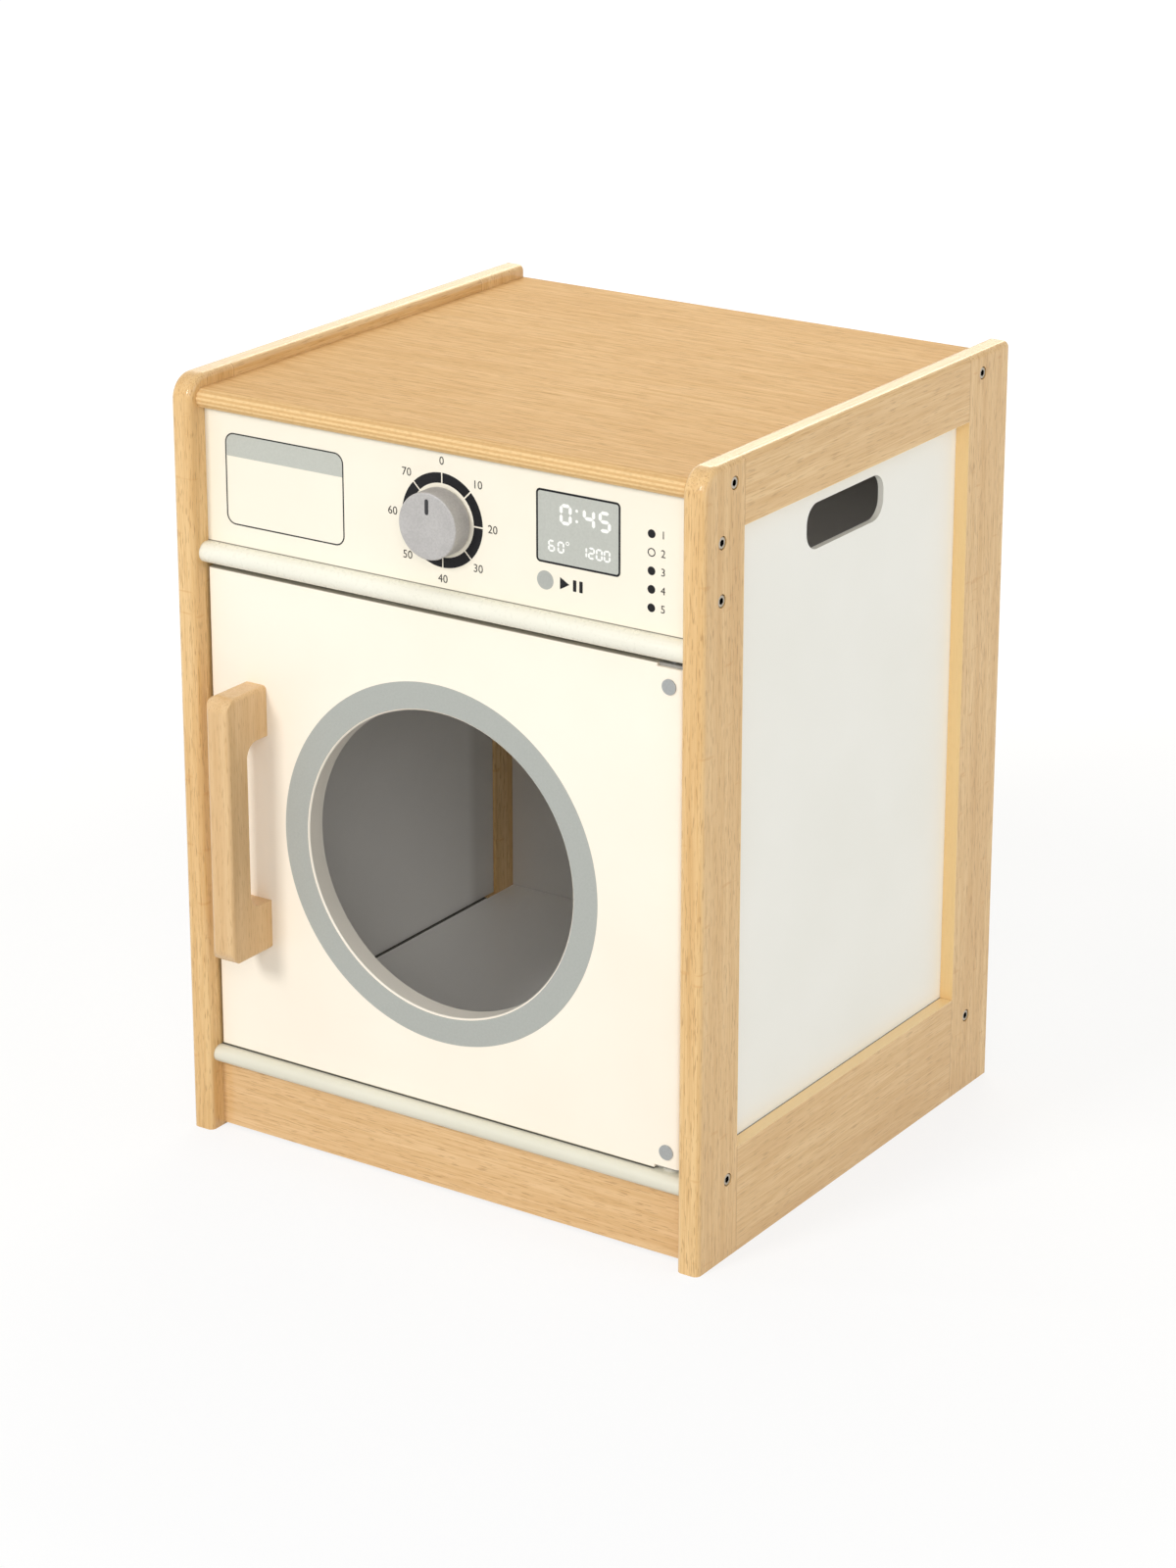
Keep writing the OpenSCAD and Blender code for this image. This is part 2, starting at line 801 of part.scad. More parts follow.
module dial_knob() {
    r = knob_d / 2;
    color("silver")
        on_dial(knob_back)
            difference() {
                union() {
                    cylinder(r = r, h = knob_h - knob_edge_r);
                    cylinder(r = r - knob_edge_r, h = knob_h);
                    translate([0, 0, knob_h - knob_edge_r])
                        rotate_extrude()
                            intersection() {
                                translate([r - knob_edge_r, 0]) circle(knob_edge_r);
                                translate([r - knob_edge_r, 0]) square(knob_edge_r);
                            }
                }
                translate([0, 0, -cut])
                    cylinder(d = spindle_d + 2 * seat_gap, h = spindle_bite + seat_gap + cut);
                translate([0, 0, knob_h - pointer_deep])
                    pointer_shape(pointer_deep + cut);
            }
}

module dial_pointer() {
    color("black")
        on_dial(knob_back - knob_h + pointer_deep)
            pointer_shape(pointer_deep + pointer_proud);
}

module dial_spindle() {
    color("silver")
        rod_y(dial_x, knob_back - spindle_bite, dial_z, spindle_d, spindle_end - knob_back + spindle_bite);
}

module dial_bush() {
    color("white")
        on_dial(fascia_back)
            difference() {
                union() {
                    cylinder(d = bush_d, h = fascia_t);
                    translate([0, 0, fascia_t]) cylinder(d = bush_flange_d, h = bush_flange_t);
                }
                translate([0, 0, -cut])
                    cylinder(d = spindle_d + 2 * run_gap, h = fascia_t + bush_flange_t + 2 * cut);
            }
}

module dial_washer() {
    color("silver")
        on_dial(fascia_back + lift_gap + dial_washer_t)
            difference() {
                cylinder(d = dial_washer_d, h = dial_washer_t);
                translate([0, 0, -cut])
                    cylinder(d = spindle_d + 2 * seat_gap, h = dial_washer_t + 2 * cut);
            }
}

module dial_nut() {
    color("silver")
        on_dial(fascia_back + lift_gap + dial_washer_t + nut_h)
            difference() {
                cylinder(d = nut_w / cos(30), h = nut_h, $fn = 6);
                translate([0, 0, -cut])
                    cylinder(d = spindle_d + 2 * seat_gap, h = nut_h + 2 * cut);
            }
}

// ---- magnetic catch ----

module catch_screw_set(gap) {
    for (x = [catch_x + ear_w / 2, catch_x + catch_w - ear_w / 2])
        translate([x, catch_y + catch_d / 2, shelf_top + ear_h - small_screw_l - gap])
            cylinder(d = small_screw_d + 2 * gap, h = small_screw_l + gap);
}

module catch_housing() {
    color("white")
        difference() {
            translate([catch_x, catch_y, shelf_top])
                union() {
                    cube([catch_w, catch_d, ear_h]);
                    translate([ear_w, 0, 0]) cube([catch_w - 2 * ear_w, catch_d, catch_h]);
                }
            translate([catch_mid - magnet_w / 2 - seat_gap, catch_y - cut,
                magnet_z - magnet_h / 2 - seat_gap])
                cube([magnet_w + 2 * seat_gap, magnet_d + seat_gap + cut, magnet_h + 2 * seat_gap]);
            catch_screw_set(seat_gap);
        }
}

module catch_magnet() {
    color("dimgray")
        translate([catch_mid - magnet_w / 2, catch_y, magnet_z - magnet_h / 2])
            cube([magnet_w, magnet_d, magnet_h]);
}

module catch_screws() {
    color("silver") {
        catch_screw_set(0);
        for (x = [catch_x + ear_w / 2, catch_x + catch_w - ear_w / 2])
            translate([x, catch_y + catch_d / 2, shelf_top + ear_h])
                cylinder(d = small_head_d, h = small_head_h);
    }
}

module strike_plate() {
    color("silver")
        difference() {
            translate([catch_mid - strike_w / 2, door_back, magnet_z - strike_h / 2])
                cube([strike_w, strike_t, strike_h]);
            rod_y(catch_mid, door_back - cut, magnet_z, small_screw_d + 2 * seat_gap, strike_t + 2 * cut);
        }
}

module strike_screw() {
    color("dimgray")
        rod_y(catch_mid, door_back - strike_screw_l + strike_t, magnet_z, small_screw_d, strike_screw_l);
}

left_front_stile();
left_rear_stile();
left_top_rail();
left_bottom_rail();
left_side_panel();
right_front_stile();
right_rear_stile();
right_top_rail();
right_bottom_rail();
right_side_panel();
worktop();
control_panel();
head_rail();
base_shelf();
plinth();
back_panel();
frame_dowels();
board_dowels();
cabinet_screws();
door_panel();
door_pull();
pull_screws();
hinge_brackets();
hinge_rivets();
hinge_pins();
hinge_washers();
dial_knob();
dial_pointer();
dial_spindle();
dial_bush();
dial_washer();
dial_nut();
catch_housing();
catch_magnet();
catch_screws();
strike_plate();
strike_screw();
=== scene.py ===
import math

import bmesh
import bpy
from mathutils import Euler, Matrix, Vector


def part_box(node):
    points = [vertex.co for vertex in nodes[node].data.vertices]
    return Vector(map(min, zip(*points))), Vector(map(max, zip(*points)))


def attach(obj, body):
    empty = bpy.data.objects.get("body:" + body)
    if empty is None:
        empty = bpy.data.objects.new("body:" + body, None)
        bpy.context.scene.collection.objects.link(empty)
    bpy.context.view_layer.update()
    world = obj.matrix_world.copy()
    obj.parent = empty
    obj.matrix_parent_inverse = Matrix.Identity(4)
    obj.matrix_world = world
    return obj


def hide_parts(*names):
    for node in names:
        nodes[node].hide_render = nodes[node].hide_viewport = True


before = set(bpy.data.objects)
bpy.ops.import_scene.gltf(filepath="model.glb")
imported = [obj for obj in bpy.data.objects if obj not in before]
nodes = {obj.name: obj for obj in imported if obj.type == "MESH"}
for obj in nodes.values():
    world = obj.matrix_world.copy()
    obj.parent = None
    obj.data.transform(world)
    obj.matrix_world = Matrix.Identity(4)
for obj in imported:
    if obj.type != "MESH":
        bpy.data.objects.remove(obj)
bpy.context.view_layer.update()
mm = 0.001
print("frame loaded:", len(nodes), "nodes")


camera = {
    "place": (1.437976, -2.141236, 1.197349),
    "turn": 33.81,      # degrees round from straight in front
    "down": 18.484,     # degrees below level
    "lens": 95.675,
    "sensor": 36.0,
    "rise": -0.09375,   # the object sits above the middle of the frame
}


def setCamera(values):
    data = bpy.data.cameras.new("studioCamera")
    data.lens = values["lens"]
    data.sensor_width = values["sensor"]
    data.shift_y = values["rise"]
    data.dof.use_dof = False
    obj = bpy.data.objects.new("studioCamera", data)
    obj.location = values["place"]
    obj.rotation_euler = Euler((math.radians(90 - values["down"]), 0, math.radians(values["turn"])))
    bpy.context.scene.collection.objects.link(obj)
    bpy.context.scene.camera = obj


setCamera(camera)
bpy.context.scene.view_settings.view_transform = "Standard"
print("camera set")


def linear(hexColour):
    # an sRGB hex colour as the linear values that a socket takes
    values = []
    for i in (1, 3, 5):
        c = int(hexColour[i:i + 2], 16) / 255
        values.append(c / 12.92 if c <= 0.04045 else ((c + 0.055) / 1.055) ** 2.4)
    return (*values, 1.0)


def setInputs(tree, node, inputs):
    # inputs go by name or number and hold a value, a hex colour, or the node or socket to link
    for key, value in inputs.items():
        if isinstance(value, bpy.types.Node):
            value = value.outputs[0]
        if isinstance(value, bpy.types.NodeSocket):
            tree.links.new(value, node.inputs[key])
        elif isinstance(value, str) and value.startswith("#"):
            node.inputs[key].default_value = linear(value)
        else:
            node.inputs[key].default_value = value


def addNode(tree, kind, inputs=None, **settings):
    # settings are the node's own properties
    node = tree.nodes.new(kind)
    for key, value in settings.items():
        setattr(node, key, value)
    setInputs(tree, node, inputs or {})
    return node


def startMaterial(name):
    # an empty material, and the surface's place and direction in it
    material = bpy.data.materials.new(name)
    material.use_nodes = True
    tree = material.node_tree
    tree.nodes.clear()
    return material, tree, addNode(tree, "ShaderNodeTexCoord").outputs


noiseMiddle = (0.3, 0.7)     # the part of a noise's range that goes from one tone to the other


def endMaterial(material, colour, pattern, roughness, relief, gloss):
    # The pattern takes the roughness from its lower to its higher value and raises the
    # relief, which is a depth in millimetres and a strength. gloss is the same all over.
    tree = material.node_tree
    uneven = addNode(tree, "ShaderNodeMapRange", {
        "Value": pattern, "From Min": noiseMiddle[0], "From Max": noiseMiddle[1],
        "To Min": roughness[0], "To Max": roughness[1]})
    bump = addNode(tree, "ShaderNodeBump", {
        "Height": pattern, "Distance": relief[0] * mm, "Strength": relief[1]})
    shader = addNode(tree, "ShaderNodeBsdfPrincipled", {
        **gloss, "Base Color": colour, "Roughness": uneven, "Normal": bump})
    addNode(tree, "ShaderNodeOutputMaterial", {"Surface": shader})
    return material


def patternAt(tree, place, size, detail=2.0, rough=0.5, shift=(0, 0, 0)):
    # noise whose features measure size (x, y, z) in millimetres
    scale = tuple(1 / (s * mm) for s in size)
    moved = addNode(tree, "ShaderNodeMapping", {"Scale": scale, "Location": shift, "Vector": place})
    return addNode(tree, "ShaderNodeTexNoise", {
        "Vector": moved, "Scale": 1.0, "Detail": detail, "Roughness": rough})


def layTone(tree, base, tone, *masks, joined="MULTIPLY"):
    # The base colour with the tone laid over it. A mask is a value and the low and high end of
    # its range, and then how strong the tone is at both, which is 0 and 1 if it isn't given.
    strength = None
    for value, low, high, *strengths in masks:
        atLow, atHigh = strengths or (0.0, 1.0)
        mask = addNode(tree, "ShaderNodeMapRange", {
            "Value": value, "From Min": low, "From Max": high, "To Min": atLow, "To Max": atHigh})
        if strength is None:
            strength = mask
        else:
            strength = addNode(tree, "ShaderNodeMath", {0: strength, 1: mask}, operation=joined)
    return addNode(tree, "ShaderNodeMix", {0: strength, 6: base, 7: tone}, data_type="RGBA").outputs[2]


def awayFrom(tree, value, middle):
    # how far a coordinate lies from the middle, to either side
    apart = addNode(tree, "ShaderNodeMath", {0: value, 1: middle}, operation="SUBTRACT")
    return addNode(tree, "ShaderNodeMath", {0: apart}, operation="ABSOLUTE")


railEnds = [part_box("right_top_rail")[0].y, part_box("right_top_rail")[1].y]
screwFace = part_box("cabinet_screws")[1].x
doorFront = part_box("door_panel")[0].y
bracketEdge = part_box("hinge_brackets")[0].x
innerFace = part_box("right_bottom_rail")[0].x
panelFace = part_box("right_side_panel")[1].x
sideOpening = {"y": railEnds, "z": [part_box("right_bottom_rail")[1].z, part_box("right_top_rail")[0].z]}
doorMiddle = (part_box("door_panel")[0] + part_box("door_panel")[1]) / 2
porthole = {"beside": -2.0, "below": 0.6, "across": 204.5}      # mm; its place is from the door's middle
holeMiddle = (doorMiddle.x + porthole["beside"] * mm, 0.0, doorMiddle.z - porthole["below"] * mm)

# painted light and shade inside the cabinet: greyer walls, a paler shelf and dark lines
insideLightShadeLook = {
    "low": "#ECEAE6",          # painted shade: grey on walls that face the inside, up to the lower height
    "high": "#716E6A",         # and darker painted shade over the upper one
    "rise": (0.31, 0.45),      # the two heights, metres
    "back": "#D6D3CE",         # painted shade, darker, in place of the low tone, further back than this y, metres
    "rear": (0.13, 0.14),
    "inward": (-0.15, -0.12),  # place times direction, level, of a wall that faces the inside
    "floor": "#FAF8F4",        # painted light: a paler shelf, further back than this y, metres
    "behind": (-0.152, -0.148),
    "upright": (0.95, 0.98),   # how far its direction points up
    "gap": "#57534B",          # painted shadow: a dark line on the shelf along the front of the door
    "gapMiddle": 1.8,          # behind the door's front, mm
    "gapHalf": (1.1, 1.8),     # half its width and where it has faded, mm
    "gapEnd": (1.5, 0.5),      # where it fades before the hinge bracket, mm
    "gapShare": 0.9,
    "jointShade": "#3E3A34",        # painted shade: dark on the upper face of the bottom rail, where it meets its panel
    "jointUpright": (0.5, 0.9),
    "jointHeight": (30, 31),   # the grey and the dark painted shade end this far above the shelf, mm
    "jointReach": (7.0, 7.5),  # and this far out from the rail's inner face, mm
}

beechLook = {
    "light": "#EDC990",
    "dark": "#D4A768",
    "fleck": "#9C6C35",
    "stain": "#CB8F4B",
    "seam": "#AB7C48",
    "revealLight": None,          # painted light: a paler tone on the faces round the side opening, where there are any
    "figure": (7, 260),      # size of each pattern across and along the grain, mm
    "cloud": (70, 160),
    "fibre": (0.9, 38),
    "dash": (0.75, 9),       # real ray flecks are near 0.3 mm wide, drawn coarser so that they show
    "knot": (16, 4),
    "figureShare": 0.6,      # how strong each pattern's tone gets
    "cloudShare": 0.25,
    "fibreShare": 0.65,
    "dashShare": 0.45,
    "knotShare": 0.0,
    "seamHalf": (0.25, 0.7),  # half the seam's width and where it has faded, mm
    "seamShare": 0.7,
    "cut": (0.2, 0.5),       # how far past the opening's edge a cut face counts, mm
    "cutShare": 0.8,
    "roughness": (0.38, 0.5),
    "relief": (0.04, 0.5),
    "gloss": {"IOR": 1.5, "Specular IOR Level": 0.22, "Coat Weight": 0.65, "Coat Roughness": 0.11},
}
beechLayers = (      # pattern, its tone, its noise's detail and roughness, where it starts and is full
    ("figure", "dark", 3.0, 0.55, 0.36, 0.66),
    ("cloud", "dark", 2.0, 0.5, 0.35, 0.7),
    ("fibre", "dark", 2.0, 0.6, 0.46, 0.66),
    ("dash", "fleck", 1.0, 0.4, 0.6, 0.68),
    ("knot", "stain", 1.0, 0.4, 0.7, 0.77),
)


def beechColour(tree, place, grain, look, shift=(0, 0, 0)):
    # the colour of beech whose grain runs along an axis, and the noise of its fibres
    colour = look["light"]
    noises = {}
    for pattern, tone, detail, rough, low, high in beechLayers:
        share = look[pattern + "Share"]
        if share:
            across, along = look[pattern]
            size = [along if axis == grain else across for axis in "xyz"]
            noises[pattern] = patternAt(tree, place, size, detail, rough, shift)
            colour = layTone(tree, colour, look[tone], (noises[pattern], low, high, 0.0, share))
    return colour, noises["fibre"]


def revealLightFaces(tree, where, colour, look):
    # the faces round the side opening, made paler as painted light
    x, y, z = addNode(tree, "ShaderNodeSeparateXYZ", {0: where["Object"]}).outputs
    near, far = look["cut"]
    beside = addNode(tree, "ShaderNodeMath", {0: x}, operation="ABSOLUTE")
    masks = [(beside, panelFace, panelFace + near * mm)]
    for value, (low, high) in ((y, sideOpening["y"]), (z, sideOpening["z"])):
        half = (high - low) / 2
        offset = awayFrom(tree, value, (low + high) / 2)
        masks.append((offset, half + near * mm, half + far * mm, look["cutShare"], 0.0))
    return layTone(tree, colour, look["revealLight"], *masks, joined="MINIMUM")


def shadedRailInside(tree, where, colour, look, shelfTop):
    # the inner side of a bottom rail: painted shade, grey just over the shelf, and dark where it meets the
    # panel
    place = addNode(tree, "ShaderNodeSeparateXYZ", {0: where["Object"]}).outputs
    upright = addNode(tree, "ShaderNodeSeparateXYZ", {0: where["Normal"]}).outputs["Z"]
    grey = layTone(tree, look["low"], look["jointShade"], (upright, *look["jointUpright"]))
    above = addNode(tree, "ShaderNodeMath", {0: place["Z"], 1: shelfTop}, operation="SUBTRACT")
    beside = addNode(tree, "ShaderNodeMath", {0: place["X"]}, operation="ABSOLUTE")
    low, high = look["jointHeight"]
    near, far = look["jointReach"]
    return layTone(tree, colour, grey, (above, low * mm, high * mm, 1.0, 0.0),
                   (beside, innerFace + near * mm, innerFace + far * mm, 1.0, 0.0))


def lacqueredBeech(name, grain, look, shift=(0, 0, 0), seams=(), shelfTop=None):
    # Solid beech, planed, sanded and clear lacquered: warm golden tan with short brown
    # ray flecks along the grain, and a gloss that whitens where it mirrors a lamp.
    # seams are the y, in metres, where a glued butt joint shows as a hair line.
    material, tree, where = startMaterial(name)
    colour, fibre = beechColour(tree, where["Object"], grain, look, shift)
    # painted light on the faces round the side opening
    if look["revealLight"]:
        colour = revealLightFaces(tree, where, colour, look)
    near, far = look["seamHalf"]
    for seam in seams:
        depth = addNode(tree, "ShaderNodeSeparateXYZ", {0: where["Object"]}).outputs["Y"]
        line = (awayFrom(tree, depth, seam), near * mm, far * mm, look["seamShare"], 0.0)
        colour = layTone(tree, colour, look["seam"], line)
    # with shelfTop, painted shade on the inner side of a bottom rail
    if shelfTop:
        colour = shadedRailInside(tree, where, colour, insideLightShadeLook, shelfTop)
    return endMaterial(material, colour, fibre, look["roughness"], look["relief"], look["gloss"])


plyLook = {
    "face": dict(beechLook, light="#E9C088", dark="#D1A266", fleck="#A3733B", figure=(2.6, 100),
                 fibre=(1.0, 32), dash=(0.8, 13), dashShare=0.42),
    "plies": 9,
    "thick": 13.0,              # of them all, mm
    "light": "#EDCB95",
    "cross": "#DBB27A",
    "turn": (0.35, 0.65),       # how sharply one ply changes to the next
    "glue": "#BC8E58",
    "speckle": (3.0, 3.0, 1.2),  # end grain and glue on the edge, mm
    "speckleTone": (0.45, 0.7, 0.0, 0.25),     # its range and its strengths
    "level": (0.9, 0.975),      # where the rounded edge turns to the face
    # painted shade: a grey underside, inside the cabinet
    "under": "#D2CEC9",
    "downward": (-0.97, -0.93),  # how far the underside's direction points down
    "roughness": (0.5, 0.62),
    "relief": (0.04, 0.5),
    "gloss": {"IOR": 1.5, "Specular IOR Level": 0.1},
}


def beechPlywood(name, top, look):
    # Beech-faced plywood, sealed matt: long-grained veneer on its faces, and thin light
    # and dark layers on its bullnosed edge where the plies turn across each other.
    material, tree, where = startMaterial(name)
    face, fibre = beechColour(tree, where["Object"], "x", look["face"])
    height = addNode(tree, "ShaderNodeSeparateXYZ", {0: where["Object"]}).outputs["Z"]
    below = addNode(tree, "ShaderNodeMath", {0: top, 1: height}, operation="SUBTRACT")
    plyThick = look["thick"] * mm / look["plies"]
    ply = addNode(tree, "ShaderNodeMath", {0: below, 1: plyThick}, operation="DIVIDE")
    turning = addNode(tree, "ShaderNodeMath", {0: ply, 1: 1.0}, operation="PINGPONG")
    edge = layTone(tree, look["light"], look["cross"], (turning, *look["turn"]))
    speckle = patternAt(tree, where["Object"], look["speckle"])
    edge = layTone(tree, edge, look["glue"], (speckle, *look["speckleTone"]))
    upright = addNode(tree, "ShaderNodeSeparateXYZ", {0: where["Normal"]}).outputs["Z"]
    level = addNode(tree, "ShaderNodeMath", {0: upright}, operation="ABSOLUTE")
    colour = layTone(tree, edge, face, (level, *look["level"]))
    # painted shade on the underside
    colour = layTone(tree, colour, look["under"], (upright, *look["downward"], 1.0, 0.0))
    return endMaterial(material, colour, fibre, look["roughness"], look["relief"], look["gloss"])


sprayLook = {
    "drift": (90, 90, 90),     # where the coats overlap, mm
    "peel": (2.6, 2.6, 2.6),   # mm
    "unevenness": 0.05,        # of the roughness, to both sides
    "relief": (0.03, 0.35),
    "gloss": {"IOR": 1.48, "Specular IOR Level": 0.35},
    # painted shade: greyer narrow outer faces of a board
    "rim": "#AAA494",
    "rimDepth": (0.5, 0.2),    # inwards from the board's outline, mm
    # painted shade: a greyer wall round a board's hole
    "bore": "#E6E0D3",
    "boreReach": (0.1, 0.3),   # outwards from the hole's edge, mm
    # painted shade: a dark hair line along a butt joint
    "seam": "#6C6A61",
    "seamHalf": (0.4, 0.9),    # half the seam's width and where it has faded, mm
    "seamShare": 0.95,
}


def shadedInwardWalls(tree, where, tone, look):
    # walls that look towards the middle of the cabinet: painted shade, grey, and darker near the top and
    # further back
    y, z = addNode(tree, "ShaderNodeSeparateXYZ", {0: where["Object"]}).outputs[1:]
    outward = addNode(tree, "ShaderNodeVectorMath", {0: where["Object"], 1: (1, 1, 0)}, operation="MULTIPLY")
    facing = addNode(tree, "ShaderNodeVectorMath", {0: outward, 1: where["Normal"]}, operation="DOT_PRODUCT")
    wall = layTone(tree, look["low"], look["back"], (y, *look["rear"]))
    wall = layTone(tree, wall, look["high"], (z, *look["rise"]))
    return layTone(tree, tone, wall, (facing.outputs["Value"], *look["inward"], 1.0, 0.0))


def shelfLightAndShade(tree, where, tone, look):
    # the shelf's upper face: painted light, paler behind the door, and painted shadow, a dark line along the
    # door's front
    x, y = addNode(tree, "ShaderNodeSeparateXYZ", {0: where["Object"]}).outputs[:2]
    upright = addNode(tree, "ShaderNodeSeparateXYZ", {0: where["Normal"]}).outputs["Z"]
    upward = (upright, *look["upright"])
    tone = layTone(tree, tone, look["floor"], (y, *look["behind"]), upward)
    offset = awayFrom(tree, y, doorFront + look["gapMiddle"] * mm)
    near, far = look["gapHalf"]
    line = (offset, near * mm, far * mm, look["gapShare"], 0.0)
    end, ended = look["gapEnd"]
    short = (x, bracketEdge - end * mm, bracketEdge - ended * mm, 1.0, 0.0)
    return layTone(tree, tone, look["gap"], line, upward, short)


def sprayedBoard(name, colour, shade, rough=0.38, inside=None, seam=None, rim=None, bore=None):
    # MDF or hardboard sprayed with satin lacquer: even and pale, with a faint orange
    # peel some 3 mm across and slow drifts of tone where the coats overlap.
    # inside is the function that lays painted light and shade within the cabinet, seam the height of a
    # butt joint that shows as a hair line of painted shade, rim the box of a board whose narrow outer faces
    # are greyer as painted shade, and bore the middle and radius of its round hole, whose wall is greyer as
    # painted shade.
    look = sprayLook
    material, tree, where = startMaterial(name)
    drift = patternAt(tree, where["Object"], look["drift"])
    peel = patternAt(tree, where["Object"], look["peel"], 1.0)
    tone = layTone(tree, colour, shade, (drift, *noiseMiddle))
    if inside:
        tone = inside(tree, where, tone, insideLightShadeLook)
    # painted shade on the board's narrow outer faces
    if rim:
        place = addNode(tree, "ShaderNodeSeparateXYZ", {0: where["Object"]}).outputs
        masks = []
        for value, low, high in ((place["X"], rim[0].x, rim[1].x), (place["Z"], rim[0].z, rim[1].z)):
            start, full = [(high - low) / 2 - depth * mm for depth in look["rimDepth"]]
            masks.append((awayFrom(tree, value, (low + high) / 2), start, full))
        tone = layTone(tree, tone, look["rim"], *masks, joined="MAXIMUM")
    # painted shade on the wall round the hole
    if bore:
        middle, radius = bore
        apart = addNode(tree, "ShaderNodeVectorMath", {0: where["Object"], 1: middle}, operation="SUBTRACT")
        apart = addNode(tree, "ShaderNodeVectorMath", {0: apart, 1: (1, 0, 1)}, operation="MULTIPLY")
        away = addNode(tree, "ShaderNodeVectorMath", {0: apart}, operation="LENGTH").outputs["Value"]
        near, far = look["boreReach"]
        tone = layTone(tree, tone, look["bore"], (away, radius + near * mm, radius + far * mm, 1.0, 0.0))
    # painted shade along the butt joint
    if seam:
        near, far = look["seamHalf"]
        height = addNode(tree, "ShaderNodeSeparateXYZ", {0: where["Object"]}).outputs["Z"]
        line = (awayFrom(tree, height, seam), near * mm, far * mm, look["seamShare"], 0.0)
        tone = layTone(tree, tone, look["seam"], line)
    roughness = (rough - look["unevenness"], rough + look["unevenness"])
    return endMaterial(material, tone, peel, roughness, look["relief"], look["gloss"])


inkLook = {
    "mottle": (1.5, 1.5, 1.5),      # mm
    "roughness": (0.45, 0.6),
    "relief": (0.01, 0.3),
}


def screenPrint(name, colour, shade, gloss=0.3):
    # Ink screen-printed on the lacquer: flat and dense, with a mottle finer than 1 mm
    # drawn at 1.5 mm so that it shows, and a duller surface than the board.
    look = inkLook
    material, tree, where = startMaterial(name)
    mottle = patternAt(tree, where["Object"], look["mottle"])
    tone = layTone(tree, colour, shade, (mottle, *noiseMiddle))
    return endMaterial(material, tone, mottle, look["roughness"], look["relief"],
                       {"Specular IOR Level": gloss})


plasticLook = {
    "flow": (14, 14, 14),       # slow changes of tone from the melt, mm
    "flowShare": 0.4,
    "skinShare": 0.6,
    "tone": (0.38, 0.62),
    "unevenness": (0.06, 0.08),  # of the roughness, below and above its mean
    "relief": (0.05, 0.6),
    "ior": 1.53,
}


def mouldedPlastic(name, colour, shade, rough=0.42, grit=0.9, gloss=0.5):
    # Moulded ABS or nylon with a spark-eroded skin: matt grain near 0.3 mm, drawn at
    # grit mm, over slow changes of tone from the melt's flow. The enamel on the rivets
    # has as even a skin, so it is made the same way.
    look = plasticLook
    material, tree, where = startMaterial(name)
    flow = patternAt(tree, where["Object"], look["flow"])
    skin = patternAt(tree, where["Object"], (grit, grit, grit))
    slow = addNode(tree, "ShaderNodeMath", {0: flow, 1: look["flowShare"]}, operation="MULTIPLY")
    fine = addNode(tree, "ShaderNodeMath", {0: skin, 1: look["skinShare"]}, operation="MULTIPLY")
    both = addNode(tree, "ShaderNodeMath", {0: slow, 1: fine}, operation="ADD")
    tone = layTone(tree, colour, shade, (both, *look["tone"]))
    less, more = look["unevenness"]
    return endMaterial(material, tone, skin, (rough - less, rough + more), look["relief"],
                       {"IOR": look["ior"], "Specular IOR Level": gloss})


steelLook = {
    "lines": (0.4, 0.4, 6.0),   # drawing lines, mm
    "stain": (5, 5, 5),         # mm
    # painted shade: dark in the depth of a screw's socket
    "socket": "#16130F",
    "socketFade": 0.1,          # mm
    "unevenness": (0.08, 0.1),  # of the roughness, below and above its mean
    "relief": (0.01, 0.4),
}


def platedSteel(name, colour, shade, rough=0.36, dark=None, metal=1.0):
    # Pressed or turned steel with a thin plating: grey and softly mirrored, with
    # drawing lines about 0.4 mm apart that blur its highlights.
    # dark is how far from the middle, in metres, the painted shade in the depth of a socket reaches;
    # metal under 1 is a dull, powdery passivated plating.
    look = steelLook
    material, tree, where = startMaterial(name)
    lines = patternAt(tree, where["Object"], look["lines"])
    stain = patternAt(tree, where["Object"], look["stain"])
    tone = layTone(tree, colour, shade, (stain, *noiseMiddle))
    # painted shade in the depth of a socket
    if dark:
        across = addNode(tree, "ShaderNodeSeparateXYZ", {0: where["Object"]}).outputs["X"]
        beside = addNode(tree, "ShaderNodeMath", {0: across}, operation="ABSOLUTE")
        tone = layTone(tree, tone, look["socket"], (beside, dark - look["socketFade"] * mm, dark, 1.0, 0.0))
    less, more = look["unevenness"]
    return endMaterial(material, tone, lines, (rough - less, rough + more), look["relief"],
                       {"Metallic": metal})


